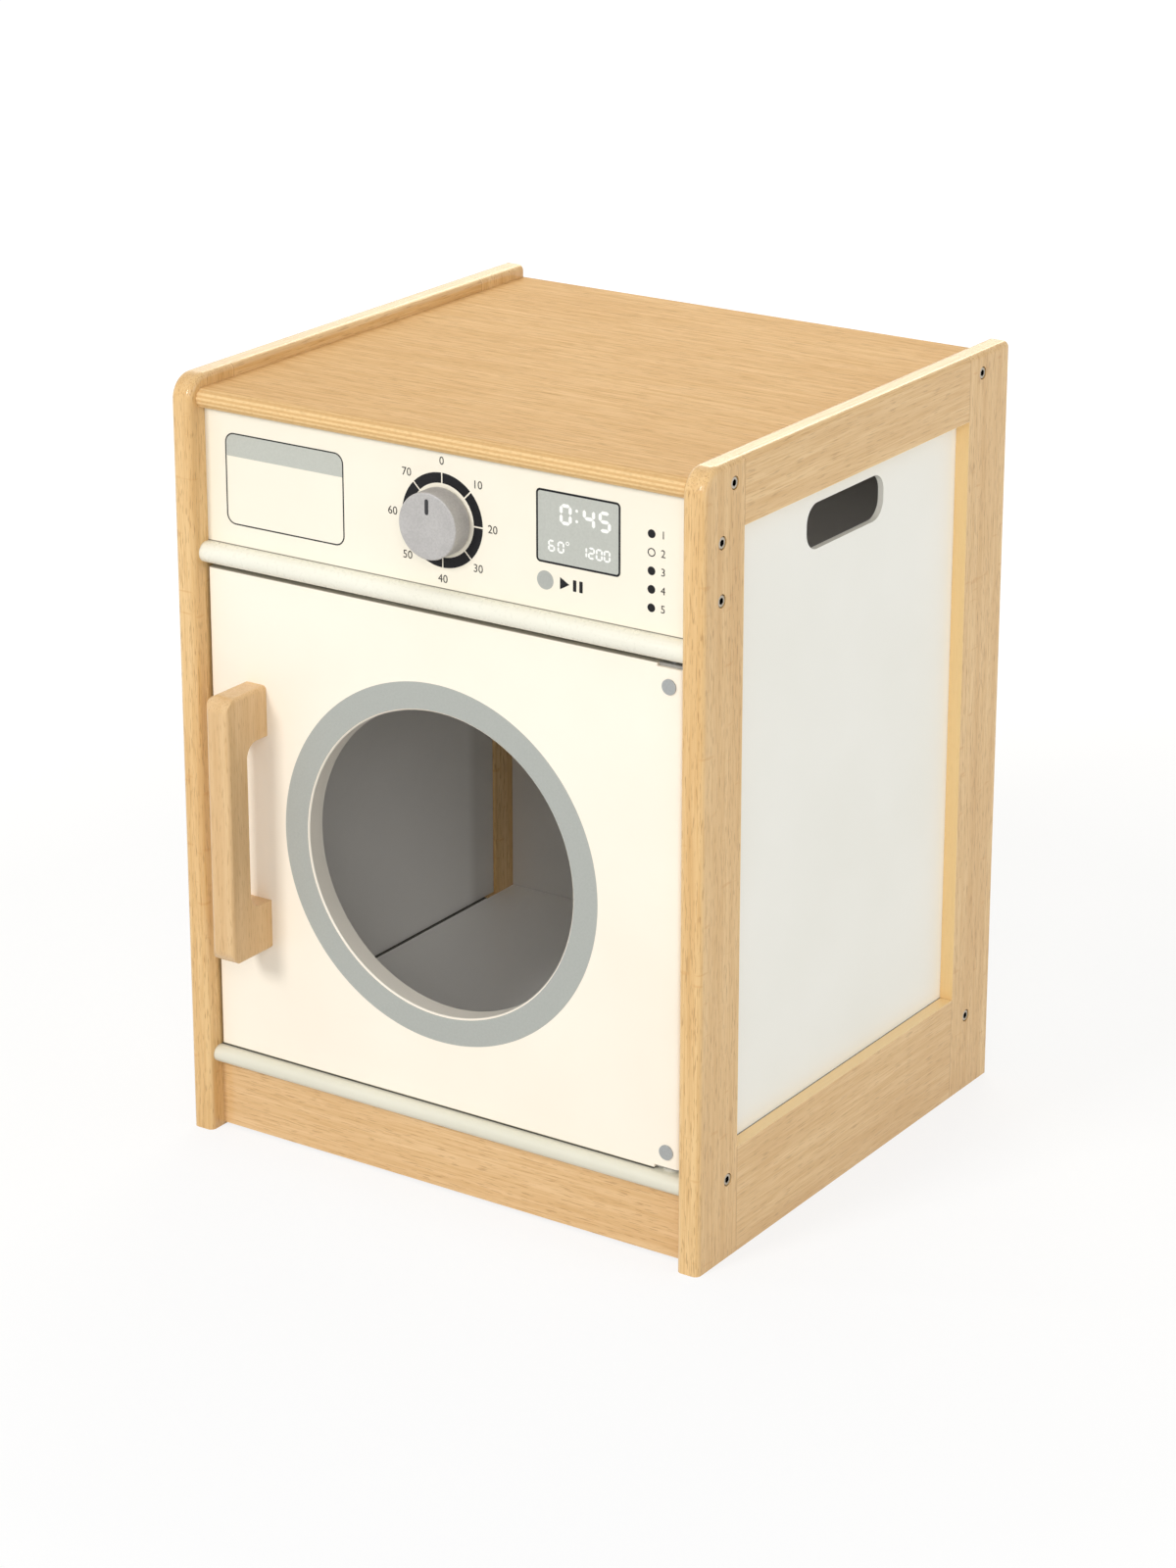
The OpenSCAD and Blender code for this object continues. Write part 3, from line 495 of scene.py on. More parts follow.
uprightLook = dict(beechLook, knotShare=0.3, revealLight="#FFDB9C")
pullLook = dict(beechLook, light="#E3C08E", dark="#D3AA74", dashShare=0.3)
deepLook = dict(beechLook, figure=(5, 130), fibre=(0.9, 36), dash=(0.8, 14), dashShare=0.34, revealLight="#FFDFA6")
wideLook = dict(beechLook, light="#EBC693", dark="#D3A76D", figure=(4, 130), fibre=(1.0, 36), dash=(0.8, 11),
                dashShare=0.4)
dowelLook = dict(beechLook, light="#E3C08F", dark="#CFA56F")
socketShadeDepth = 0.35      # painted shade: the screws are dark deeper than this from the face of the head, mm, for the shade in their sockets
timber = {
    "upright": lacqueredBeech("lacqueredBeechUpright", "z", uprightLook),
    "pull": lacqueredBeech("lacqueredBeechPull", "z", pullLook, (5, 1, 0)),
    "deep": lacqueredBeech("lacqueredBeechFrontToBack", "y", deepLook, (3, 0, 7), railEnds,
                           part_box("base_shelf")[1].z),
    "wide": lacqueredBeech("lacqueredBeechSideToSide", "x", wideLook, (0, 5, 2)),
    "dowel": lacqueredBeech("flutedDowelBeech", "x", dowelLook),
    "worktop": beechPlywood("beechFacedPlywood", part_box("worktop")[1].z, plyLook),
}
paint = {
    "panel": sprayedBoard("whiteSprayedHardboard", "#FAF9F1", "#F7F6ED", inside=shadedInwardWalls),
    "door": sprayedBoard("creamSprayedDoor", "#FEF5E5", "#FBF1E0", rim=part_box("door_panel"),
                         bore=(holeMiddle, porthole["across"] / 2 * mm)),
    # the fascia has the door's cream paint, laid a little darker as painted shade
    "fascia": sprayedBoard("creamSprayedFascia", "#F8F1E0", "#F4EDDB", seam=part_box("control_panel")[0].z),
    "rail": sprayedBoard("ivorySprayedRail", "#EFEDDE", "#EBE8D8", 0.3),
    "shelf": sprayedBoard("ivorySprayedShelf", "#E2DFCE", "#DDDAC8", 0.36, inside=shelfLightAndShade),
}
ink = {
    "ring": screenPrint("greyPrintedRing", "#B0B3AD", "#ABAEA8"),
    "band": screenPrint("paleGreyPrint", "#C1C3BA", "#BCBEB5"),
    "display": screenPrint("displayGreyPrint", "#BEC0B8", "#B8BAB2"),
    "dark": screenPrint("darkLinePrint", "#2F2F2E", "#383837", 0.2),
    "black": screenPrint("blackPrint", "#1B1B1D", "#232325", 0.15),
    "pale": screenPrint("paleDigitPrint", "#FBFBF6", "#F6F6F1"),
    "label": screenPrint("greyLabelPrint", "#3F3D39", "#484541", 0.2),
    "dot": screenPrint("greyButtonPrint", "#B0B2AC", "#AAACA6"),
}
solid = {
    "knob": mouldedPlastic("lightGreyAbs", "#B8B5B2", "#ABA8A5", grit=1.3, gloss=0.85),
    "inlay": mouldedPlastic("blackAbsInlay", "#19191B", "#222224", 0.35),
    "nylon": mouldedPlastic("naturalNylon", "#D0CDC3", "#C5C2B7", 0.4),
    "cap": mouldedPlastic("greyEnamelledRivet", "#A6A9A9", "#9DA0A0", 0.38, 1.2),
    "steel": platedSteel("zincPlatedSteel", "#A9ABAC", "#9A9C9E"),
    "screw": platedSteel("socketScrewSteel", "#BDB4A4", "#A39B8C", 0.34, screwFace - socketShadeDepth * mm),
    "plate": platedSteel("passivatedSteelPlate", "#A3A19C", "#94928D", 0.5, metal=0.3),
    "magnet": platedSteel("sinteredMagnet", "#55565A", "#48494D", 0.5),
}
print("materials made")

finishes = (
    (timber["upright"], "left_front_stile", "left_rear_stile", "right_front_stile", "right_rear_stile"),
    (timber["deep"], "left_top_rail", "left_bottom_rail", "right_top_rail", "right_bottom_rail"),
    (timber["wide"], "plinth"),
    (timber["pull"], "door_pull"),
    (timber["worktop"], "worktop"),
    (timber["dowel"], "frame_dowels", "board_dowels"),
    (paint["panel"], "left_side_panel", "right_side_panel", "back_panel"),
    (paint["fascia"], "control_panel"),
    (paint["rail"], "head_rail"),
    (paint["shelf"], "base_shelf"),
    (paint["door"], "door_panel"),
    (solid["screw"], "cabinet_screws"),
    (solid["plate"], "hinge_brackets"),
    (solid["cap"], "hinge_rivets"),
    (solid["nylon"], "hinge_washers", "dial_bush", "catch_housing"),
    (solid["knob"], "dial_knob"),
    (solid["inlay"], "dial_pointer"),
    (solid["magnet"], "catch_magnet"),
    (solid["steel"], "pull_screws", "hinge_pins", "dial_spindle", "dial_washer", "dial_nut", "catch_screws",
     "strike_plate", "strike_screw"),
)
finished = []
for finish, *nodeNames in finishes:
    for nodeName in nodeNames:
        for slot in nodes[nodeName].material_slots:
            slot.material = finish
    finished += nodeNames
print("finishes given to", len(finished), "nodes")


def addPiece(name, mesh, body, finish=None):
    obj = bpy.data.objects.new(name, mesh)
    bpy.context.scene.collection.objects.link(obj)
    if finish:
        mesh.materials.clear()
        mesh.materials.append(finish)
    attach(obj, body)
    return obj


def circlePoints(x, z, radius, steps):
    points = []
    for i in range(steps):
        angle = 2 * math.pi * i / steps
        points.append((x + radius * math.cos(angle), z + radius * math.sin(angle)))
    return points


def roundedBox(x0, x1, z0, z1, radius, steps=8):
    points = []
    for cx, cz, start in ((x1 - radius, z1 - radius, 0), (x0 + radius, z1 - radius, 90),
                          (x0 + radius, z0 + radius, 180), (x1 - radius, z0 + radius, 270)):
        for i in range(steps + 1):
            angle = math.radians(start + 90 * i / steps)
            points.append((cx + radius * math.cos(angle), cz + radius * math.sin(angle)))
    return points


def thinSheet(bm, outer, faceY, lift, inner=None):
    # a closed sheet on a face that looks along -Y; outlines are (x, z) in mm, anticlockwise
    def row(points, y):
        return [bm.verts.new((x * mm, y * mm, z * mm)) for x, z in points]
    front, back = row(outer, faceY - lift), row(outer, faceY)
    count = len(outer)
    for i in range(count):
        j = (i + 1) % count
        bm.faces.new((front[i], back[i], back[j], front[j]))
    if inner is None:
        bm.faces.new(front)
        bm.faces.new(back[::-1])
        return
    frontIn, backIn = row(inner, faceY - lift), row(inner, faceY)
    for i in range(count):
        j = (i + 1) % count
        bm.faces.new((front[i], front[j], frontIn[j], frontIn[i]))
        bm.faces.new((back[j], back[i], backIn[i], backIn[j]))
        bm.faces.new((frontIn[i], frontIn[j], backIn[j], backIn[i]))


def finishMesh(bm, name):
    bmesh.ops.recalc_face_normals(bm, faces=bm.faces)
    mesh = bpy.data.meshes.new(name)
    bm.to_mesh(mesh)
    bm.free()
    return mesh


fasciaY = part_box("control_panel")[0].y / mm
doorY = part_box("door_panel")[0].y / mm
inkLift = 0.12
fieldLift = 0.8 * inkLift       # a filled field, under the line round it
figureLift = 1.5 * inkLift      # figures and dots, over the display's field
weldReach = {"arc": 0.00001, "mesh": 0.000002, "text": 0.000001}     # metres


drawerPrint = {"x": (-168, -74.5), "z": (424, 484.6), "corner": 7, "line": 0.9, "bandFrom": 469.2}


def framedBox(values):
    # the outer and the inner outline of a line round a rounded box
    (x0, x1), (z0, z1) = values["x"], values["z"]
    line, corner = values["line"], values["corner"]
    outer = roundedBox(x0, x1, z0, z1, corner)
    return outer, roundedBox(x0 + line, x1 - line, z0 + line, z1 - line, corner - line)


def makeDrawerPrint(values):
    outer, inner = framedBox(values)
    bm = bmesh.new()
    thinSheet(bm, outer, fasciaY, inkLift, inner)
    addPiece("drawer_outline_print", finishMesh(bm, "drawerOutline"), "cabinet", ink["dark"])
    band = [(x, max(z, values["bandFrom"])) for x, z in inner]
    band = [p for i, p in enumerate(band) if p != band[i - 1]]
    bm = bmesh.new()
    thinSheet(bm, band, fasciaY, fieldLift)
    addPiece("drawer_band_print", finishMesh(bm, "drawerBand"), "cabinet", ink["band"])


makeDrawerPrint(drawerPrint)

displayPrint = {"x": (71, 132), "z": (440.5, 487), "corner": 3.0, "line": 1.35}


def makeDisplayPrint(values):
    outer, inner = framedBox(values)
    bm = bmesh.new()
    thinSheet(bm, outer, fasciaY, inkLift, inner)
    addPiece("display_outline_print", finishMesh(bm, "displayOutline"), "cabinet", ink["black"])
    bm = bmesh.new()
    thinSheet(bm, inner, fasciaY, fieldLift)
    addPiece("display_field_print", finishMesh(bm, "displayField"), "cabinet", ink["display"])


makeDisplayPrint(displayPrint)
print("drawer and display printed")


def startTree(name, inputs):
    tree = bpy.data.node_groups.new(name, "GeometryNodeTree")
    tree.interface.new_socket("Geometry", in_out="OUTPUT", socket_type="NodeSocketGeometry")
    tree.interface.new_socket("Geometry", in_out="INPUT", socket_type="NodeSocketGeometry")
    for label, (kind, value) in inputs.items():
        socket = tree.interface.new_socket(label, in_out="INPUT", socket_type="NodeSocket" + kind)
        if value is not None:
            socket.default_value = value
    return tree, addNode(tree, "NodeGroupInput").outputs


def endTree(tree, geometry, finish):
    realized = addNode(tree, "GeometryNodeRealizeInstances", {0: geometry})
    dressed = addNode(tree, "GeometryNodeSetMaterial", {"Geometry": realized, "Material": finish})
    addNode(tree, "NodeGroupOutput", {0: dressed})
    return tree


def runTree(name, tree, values, startMesh=None):
    # the tree's result as a plain mesh; values go to the inputs by their labels
    obj = bpy.data.objects.new(name, startMesh or bpy.data.meshes.new(name + "Seed"))
    bpy.context.scene.collection.objects.link(obj)
    modifier = obj.modifiers.new("nodes", "NODES")
    modifier.node_group = tree
    sockets = {item.name: item.identifier for item in tree.interface.items_tree if item.in_out == "INPUT"}
    for label, value in values.items():
        modifier[sockets[label]] = value
    graph = bpy.context.evaluated_depsgraph_get()
    shown = obj.evaluated_get(graph)
    mesh = bpy.data.meshes.new_from_object(shown, preserve_all_data_layers=True, depsgraph=graph)
    mesh.name = name
    obj.modifiers.remove(modifier)
    bpy.data.objects.remove(obj)
    return mesh


def outwardMesh(mesh):
    # a nodes result with its doubles merged and every face pointing out
    bm = bmesh.new()
    bm.from_mesh(mesh)
    bmesh.ops.remove_doubles(bm, verts=bm.verts, dist=weldReach["mesh"])
    bmesh.ops.recalc_face_normals(bm, faces=bm.faces)
    bm.to_mesh(mesh)
    bm.free()
    return mesh


dialMiddle = (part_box("dial_knob")[0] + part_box("dial_knob")[1]) / 2
dialX, dialZ = dialMiddle.x / mm, dialMiddle.z / mm
dialRing = {"segments": 8, "inner": 23.8, "outer": 30.4, "tick": 1.0, "arcPoints": 15}


def dialRingTree(arcPoints):
    # arcs round a dial, parted by straight ticks of even width
    tree, given = startTree("dialRingSegments", {
        "Segments": ("Int", 8), "Inner radius": ("Float", 0.024), "Outer radius": ("Float", 0.030),
        "Tick width": ("Float", 0.001), "Thickness": ("Float", 0.0001), "Centre": ("Vector", (0, 0, 0)),
        "Finish": ("Material", None)})
    grid = addNode(tree, "GeometryNodeMeshGrid", {
        "Size X": 1.0, "Size Y": 1.0, "Vertices X": arcPoints, "Vertices Y": 2})
    position = addNode(tree, "GeometryNodeInputPosition")
    along, across = addNode(tree, "ShaderNodeSeparateXYZ", {0: position}).outputs[:2]
    inner, outer = given["Inner radius"], given["Outer radius"]

    # across the grid, from the inner to the outer radius
    bothRadii = addNode(tree, "ShaderNodeMath", {0: inner, 1: outer}, operation="ADD")
    middle = addNode(tree, "ShaderNodeMath", {0: bothRadii, 1: 0.5}, operation="MULTIPLY")
    width = addNode(tree, "ShaderNodeMath", {0: outer, 1: inner}, operation="SUBTRACT")
    outward = addNode(tree, "ShaderNodeMath", {0: across, 1: width}, operation="MULTIPLY")
    radius = addNode(tree, "ShaderNodeMath", {0: middle, 1: outward}, operation="ADD")

    # along the grid, round one segment less half a tick at each end
    step = addNode(tree, "ShaderNodeMath", {0: 2 * math.pi, 1: given["Segments"]}, operation="DIVIDE")
    halfWidth = addNode(tree, "ShaderNodeMath", {0: given["Tick width"], 1: 0.5}, operation="MULTIPLY")
    share = addNode(tree, "ShaderNodeMath", {0: halfWidth, 1: radius}, operation="DIVIDE")
    halfTick = addNode(tree, "ShaderNodeMath", {0: share}, operation="ARCSINE")
    tick = addNode(tree, "ShaderNodeMath", {0: halfTick, 1: 2.0}, operation="MULTIPLY")
    span = addNode(tree, "ShaderNodeMath", {0: step, 1: tick}, operation="SUBTRACT")
    swept = addNode(tree, "ShaderNodeMath", {0: along, 1: span}, operation="MULTIPLY")
    halfStep = addNode(tree, "ShaderNodeMath", {0: step, 1: 0.5}, operation="MULTIPLY")
    angle = addNode(tree, "ShaderNodeMath", {0: swept, 1: halfStep}, operation="ADD")

    cosine = addNode(tree, "ShaderNodeMath", {0: angle}, operation="COSINE")
    sine = addNode(tree, "ShaderNodeMath", {0: angle}, operation="SINE")
    targetX = addNode(tree, "ShaderNodeMath", {0: radius, 1: cosine}, operation="MULTIPLY")
    targetZ = addNode(tree, "ShaderNodeMath", {0: radius, 1: sine}, operation="MULTIPLY")
    target = addNode(tree, "ShaderNodeCombineXYZ", {0: targetX, 2: targetZ})
    arc = addNode(tree, "GeometryNodeSetPosition", {"Geometry": grid, "Position": target})
    forward = addNode(tree, "ShaderNodeMath", {0: given["Thickness"], 1: -1.0}, operation="MULTIPLY")
    lift = addNode(tree, "ShaderNodeCombineXYZ", {1: forward})
    raised = addNode(tree, "GeometryNodeExtrudeMesh", {
        "Mesh": arc, "Offset": lift, "Individual": False, "Offset Scale": 1.0})
    closed = addNode(tree, "GeometryNodeJoinGeometry", {0: raised})
    setInputs(tree, closed, {0: addNode(tree, "GeometryNodeFlipFaces", {0: arc})})
    welded = addNode(tree, "GeometryNodeMergeByDistance", {0: closed, "Distance": weldReach["arc"]})

    points = addNode(tree, "GeometryNodePoints", {"Count": given["Segments"], "Position": given["Centre"]})
    index = addNode(tree, "GeometryNodeInputIndex")
    turned = addNode(tree, "ShaderNodeMath", {0: index, 1: step}, operation="MULTIPLY")
    spread = addNode(tree, "GeometryNodeInstanceOnPoints", {
        "Points": points, "Instance": welded, "Rotation": addNode(tree, "ShaderNodeCombineXYZ", {1: turned})})
    return endTree(tree, spread, given["Finish"])


ringMesh = runTree("dialRing", dialRingTree(dialRing["arcPoints"]), {
    "Segments": dialRing["segments"], "Inner radius": dialRing["inner"] * mm,
    "Outer radius": dialRing["outer"] * mm, "Tick width": dialRing["tick"] * mm, "Thickness": inkLift * mm,
    "Centre": (dialX * mm, fasciaY * mm, dialZ * mm), "Finish": ink["black"]})
addPiece("dial_ring_print", outwardMesh(ringMesh), "cabinet")
print("dial ring printed")


lamps = {"count": 5, "x": 154.1, "top": 471.8, "pitch": 11.55, "radius": 2.7, "line": 0.65, "open": 1,
         "steps": 36}


def indicatorTree(steps):
    # a column of round lamps, one of them only a ring
    tree, given = startTree("indicatorColumn", {
        "Count": ("Int", 5), "Pitch": ("Float", 0.0115), "Radius": ("Float", 0.0027),
        "Line": ("Float", 0.0006), "Open one": ("Int", 1), "Thickness": ("Float", 0.0001),
        "Top": ("Vector", (0, 0, 0)), "Finish": ("Material", None)})
    index = addNode(tree, "GeometryNodeInputIndex")
    down = addNode(tree, "ShaderNodeMath", {0: given["Pitch"], 1: -1.0}, operation="MULTIPLY")
    fall = addNode(tree, "ShaderNodeMath", {0: index, 1: down}, operation="MULTIPLY")
    drop = addNode(tree, "ShaderNodeCombineXYZ", {2: fall})
    place = addNode(tree, "ShaderNodeVectorMath", {0: given["Top"], 1: drop}, operation="ADD")
    points = addNode(tree, "GeometryNodePoints", {"Count": given["Count"], "Position": place})
    disc = addNode(tree, "GeometryNodeMeshCylinder", {
        "Vertices": steps, "Radius": given["Radius"], "Depth": given["Thickness"]})
    coreRadius = addNode(tree, "ShaderNodeMath", {0: given["Radius"], 1: given["Line"]}, operation="SUBTRACT")
    coreDepth = addNode(tree, "ShaderNodeMath", {0: given["Thickness"], 1: 3.0}, operation="MULTIPLY")
    core = addNode(tree, "GeometryNodeMeshCylinder", {
        "Vertices": steps, "Radius": coreRadius, "Depth": coreDepth})
    ring = addNode(tree, "GeometryNodeMeshBoolean", {0: disc, 1: core}, operation="DIFFERENCE")
    isOpen = addNode(tree, "FunctionNodeCompare", {2: index, 3: given["Open one"]}, data_type="INT",
                     operation="EQUAL")
    isFull = addNode(tree, "FunctionNodeBooleanMath", {0: isOpen}, operation="NOT")
    both = addNode(tree, "GeometryNodeJoinGeometry")
    for shape, chosen in ((disc, isFull), (ring, isOpen)):
        lying = addNode(tree, "GeometryNodeTransform", {"Geometry": shape, "Rotation": (math.pi / 2, 0, 0)})
        spread = addNode(tree, "GeometryNodeInstanceOnPoints", {
            "Points": points, "Selection": chosen, "Instance": lying})
        setInputs(tree, both, {0: spread})
    return endTree(tree, both, given["Finish"])


lampMesh = runTree("indicatorLamps", indicatorTree(lamps["steps"]), {
    "Count": lamps["count"], "Pitch": lamps["pitch"] * mm, "Radius": lamps["radius"] * mm,
    "Line": lamps["line"] * mm, "Open one": lamps["open"], "Thickness": 2 * inkLift * mm,
    "Top": (lamps["x"] * mm, fasciaY * mm, lamps["top"] * mm), "Finish": ink["black"]})
addPiece("indicator_prints", outwardMesh(lampMesh), "cabinet")


# bars lit for each figure: top, upper right, lower right, bottom, lower left, upper left, middle
litBars = {"0": "abcdef", "1": "bc", "2": "abdeg", "4": "bcfg", "5": "acdfg", "6": "acdefg"}
barPlaces = {"a": (0, 1, 0), "b": (0.5, 0.5, 1), "c": (0.5, -0.5, 1), "d": (0, -1, 0),
             "e": (-0.5, -0.5, 1), "f": (-0.5, 0.5, 1), "g": (0, 0, 0)}
displayFigures = {
    "bar": 5.5,            # length of an upright bar at size 1, mm
    "across": 1.2,         # a level bar's share of it
    "width": 2.3,
    "between": 0.3,        # left free between the ends of two bars, mm
    "rows": (              # figures, the middle of each, height, size
        ("045", (92.6, 109.4, 120.8), 473.2, 1.0),
        ("60", (82.2, 89.0), 452.0, 0.57),
        ("1200", (105.6, 111.2, 116.8, 122.4), 452.0, 0.57)),
    "colon": ((100.6, 476.8), (100.6, 470.2)),
    "colonDot": (1.0, 20),               # radius, points round it
    "degree": (93.9, 455.2, 1.3, 0.55),  # x, z, radius, line
    "degreeSteps": 28,
}


def segmentTree():
    # pointed bars of a seven-segment display, one on each point, turned and sized by attributes
    tree, given = startTree("segmentBars", {
        "Length": ("Float", 0.005), "Width": ("Float", 0.001), "Thickness": ("Float", 0.0001),
        "Finish": ("Material", None)})
    bar = addNode(tree, "GeometryNodeMeshCylinder", {
        "Vertices": 6, "Radius": 1.0, "Depth": given["Thickness"]})
    position = addNode(tree, "GeometryNodeInputPosition")
    x, y, z = addNode(tree, "ShaderNodeSeparateXYZ", {0: position}).outputs
    halfWidth = addNode(tree, "ShaderNodeMath", {0: given["Width"], 1: 0.5}, operation="MULTIPLY")
    halfLength = addNode(tree, "ShaderNodeMath", {0: given["Length"], 1: 0.5}, operation="MULTIPLY")
    side = addNode(tree, "ShaderNodeMath", {0: y, 1: math.sin(math.pi / 3)}, operation="DIVIDE")
    beside = addNode(tree, "ShaderNodeMath", {0: side}, operation="ABSOLUTE")
    point = addNode(tree, "ShaderNodeMath", {0: beside, 1: halfWidth}, operation="MULTIPLY")
    reach = addNode(tree, "ShaderNodeMath", {0: halfLength, 1: point}, operation="SUBTRACT")
    end = addNode(tree, "ShaderNodeMath", {0: x}, operation="SIGN")
    targetX = addNode(tree, "ShaderNodeMath", {0: end, 1: reach}, operation="MULTIPLY")
    targetY = addNode(tree, "ShaderNodeMath", {0: side, 1: halfWidth}, operation="MULTIPLY")
    target = addNode(tree, "ShaderNodeCombineXYZ", {0: targetX, 1: targetY, 2: z})
    shaped = addNode(tree, "GeometryNodeSetPosition", {"Geometry": bar, "Position": target})
    lying = addNode(tree, "GeometryNodeTransform", {"Geometry": shaped, "Rotation": (math.pi / 2, 0, 0)})
    turn, size, span = [
        addNode(tree, "GeometryNodeInputNamedAttribute", {"Name": label}, data_type="FLOAT").outputs[0]
        for label in ("turn", "size", "span")]
    length = addNode(tree, "ShaderNodeMath", {0: size, 1: span}, operation="MULTIPLY")
    spread = addNode(tree, "GeometryNodeInstanceOnPoints", {
        "Points": given["Geometry"], "Instance": lying,
        "Rotation": addNode(tree, "ShaderNodeCombineXYZ", {1: turn}),
        "Scale": addNode(tree, "ShaderNodeCombineXYZ", {0: length, 1: size, 2: size})})
    return endTree(tree, spread, given["Finish"])


def makeDisplayFigures(values):
    mesh = bpy.data.meshes.new("segmentPoints")
    points, turns, sizes, spans = [], [], [], []
    for figures, middles, z, size in values["rows"]:
        for figure, x in zip(figures, middles):
            for bar in litBars[figure]:
                side, level, upright = barPlaces[bar]
                points.append(((x + side * values["bar"] * values["across"] * size) * mm, fasciaY * mm,
                               (z + level * values["bar"] * size) * mm))
                turns.append(upright * math.pi / 2)
                sizes.append(size)
                spans.append(1.0 if upright else values["across"])
    mesh.from_pydata(points, [], [])
    for label, numbers in (("turn", turns), ("size", sizes), ("span", spans)):
        mesh.attributes.new(label, "FLOAT", "POINT").data.foreach_set("value", numbers)
    result = runTree("displayFigures", segmentTree(), {
        "Length": (values["bar"] - values["between"]) * mm, "Width": values["width"] * mm,
        "Thickness": 2 * figureLift * mm, "Finish": ink["pale"]}, mesh)
    addPiece("display_figures_print", outwardMesh(result), "cabinet")
    bm = bmesh.new()
    radius, steps = values["colonDot"]
    for x, z in values["colon"]:
        thinSheet(bm, circlePoints(x, z, radius, steps), fasciaY, figureLift)
    x, z, radius, line = values["degree"]
    steps = values["degreeSteps"]
    thinSheet(bm, circlePoints(x, z, radius, steps), fasciaY, figureLift,
              circlePoints(x, z, radius - line, steps))
    addPiece("display_dots_print", finishMesh(bm, "displayDots"), "cabinet", ink["pale"])


makeDisplayFigures(displayFigures)
print("display figures printed")

startButton = {
    "x": 77.5, "z": 429.4, "radius": 6, "steps": 64,
    "sign": (90.6, 429.3, 4.5),      # x, z and radius of the triangle
    "bars": (99.0, 103.6),
    "bar": (2.4, 7.2, 0.4, 4),       # width, height, radius and steps of a corner
}


def makeStartButton(values):
    bm = bmesh.new()
    thinSheet(bm, circlePoints(values["x"], values["z"], values["radius"], values["steps"]), fasciaY, inkLift)
    addPiece("start_button_print", finishMesh(bm, "startButton"), "cabinet", ink["dot"])
    x, z, size = values["sign"]
    width, height, corner, steps = values["bar"]
    bm = bmesh.new()
    thinSheet(bm, circlePoints(x, z, size, 3), fasciaY, inkLift)
    for middle in values["bars"]:
        left, right = middle - width / 2, middle + width / 2
        outline = roundedBox(left, right, z - height / 2, z + height / 2, corner, steps)
        thinSheet(bm, outline, fasciaY, inkLift)
    addPiece("start_sign_print", finishMesh(bm, "startSign"), "cabinet", ink["black"])


makeStartButton(startButton)


figureShare = 0.7     # height of the built-in sans face's figures, as a share of its size


def writeFigures(name, labels, height, finish):
    # labels are (text, x, z) in mm, each centred on its place
    bm = bmesh.new()
    for text, x, z in labels:
        curve = bpy.data.curves.new("figure", "FONT")
        curve.body = text
        curve.size = height / figureShare * mm
        curve.align_x = "CENTER"
        curve.align_y = "CENTER"
        curve.extrude = inkLift / 2 * mm
        curve.resolution_u = 4
        obj = bpy.data.objects.new("figure", curve)
        bpy.context.scene.collection.objects.link(obj)
        graph = bpy.context.evaluated_depsgraph_get()
        mesh = bpy.data.meshes.new_from_object(obj.evaluated_get(graph), depsgraph=graph)
        bpy.data.objects.remove(obj)
        place = Matrix.Translation((x * mm, (fasciaY - inkLift / 2) * mm, z * mm))
        mesh.transform(place @ Matrix.Rotation(math.pi / 2, 4, "X"))
        bm.from_mesh(mesh)
    bmesh.ops.remove_doubles(bm, verts=bm.verts, dist=weldReach["text"])
    addPiece(name, finishMesh(bm, name), "cabinet", finish)


dialNumbers = {"radius": 37.8, "height": 5.2, "step": 10}
dialLabels = []
for i in range(dialRing["segments"]):
    angle = 2 * math.pi * i / dialRing["segments"]
    dialLabels.append((str(i * dialNumbers["step"]), dialX + dialNumbers["radius"] * math.sin(angle),
                       dialZ + dialNumbers["radius"] * math.cos(angle)))
writeFigures("dial_number_prints", dialLabels, dialNumbers["height"], ink["label"])

lampNumbers = {"x": 162.4, "height": 4.9}
lampLabels = []
for i in range(lamps["count"]):
    lampLabels.append((str(i + 1), lampNumbers["x"], lamps["top"] - i * lamps["pitch"]))
writeFigures("indicator_number_prints", lampLabels, lampNumbers["height"], ink["label"])
print("figures printed")


cabinetScrew = {"head": 8.0, "height": 3.0, "chamfer": 0.5, "shank": 5.0, "length": 42.0, "tip": 1.0,
                "socket": 4.0, "deep": 2.0, "steps": 36}


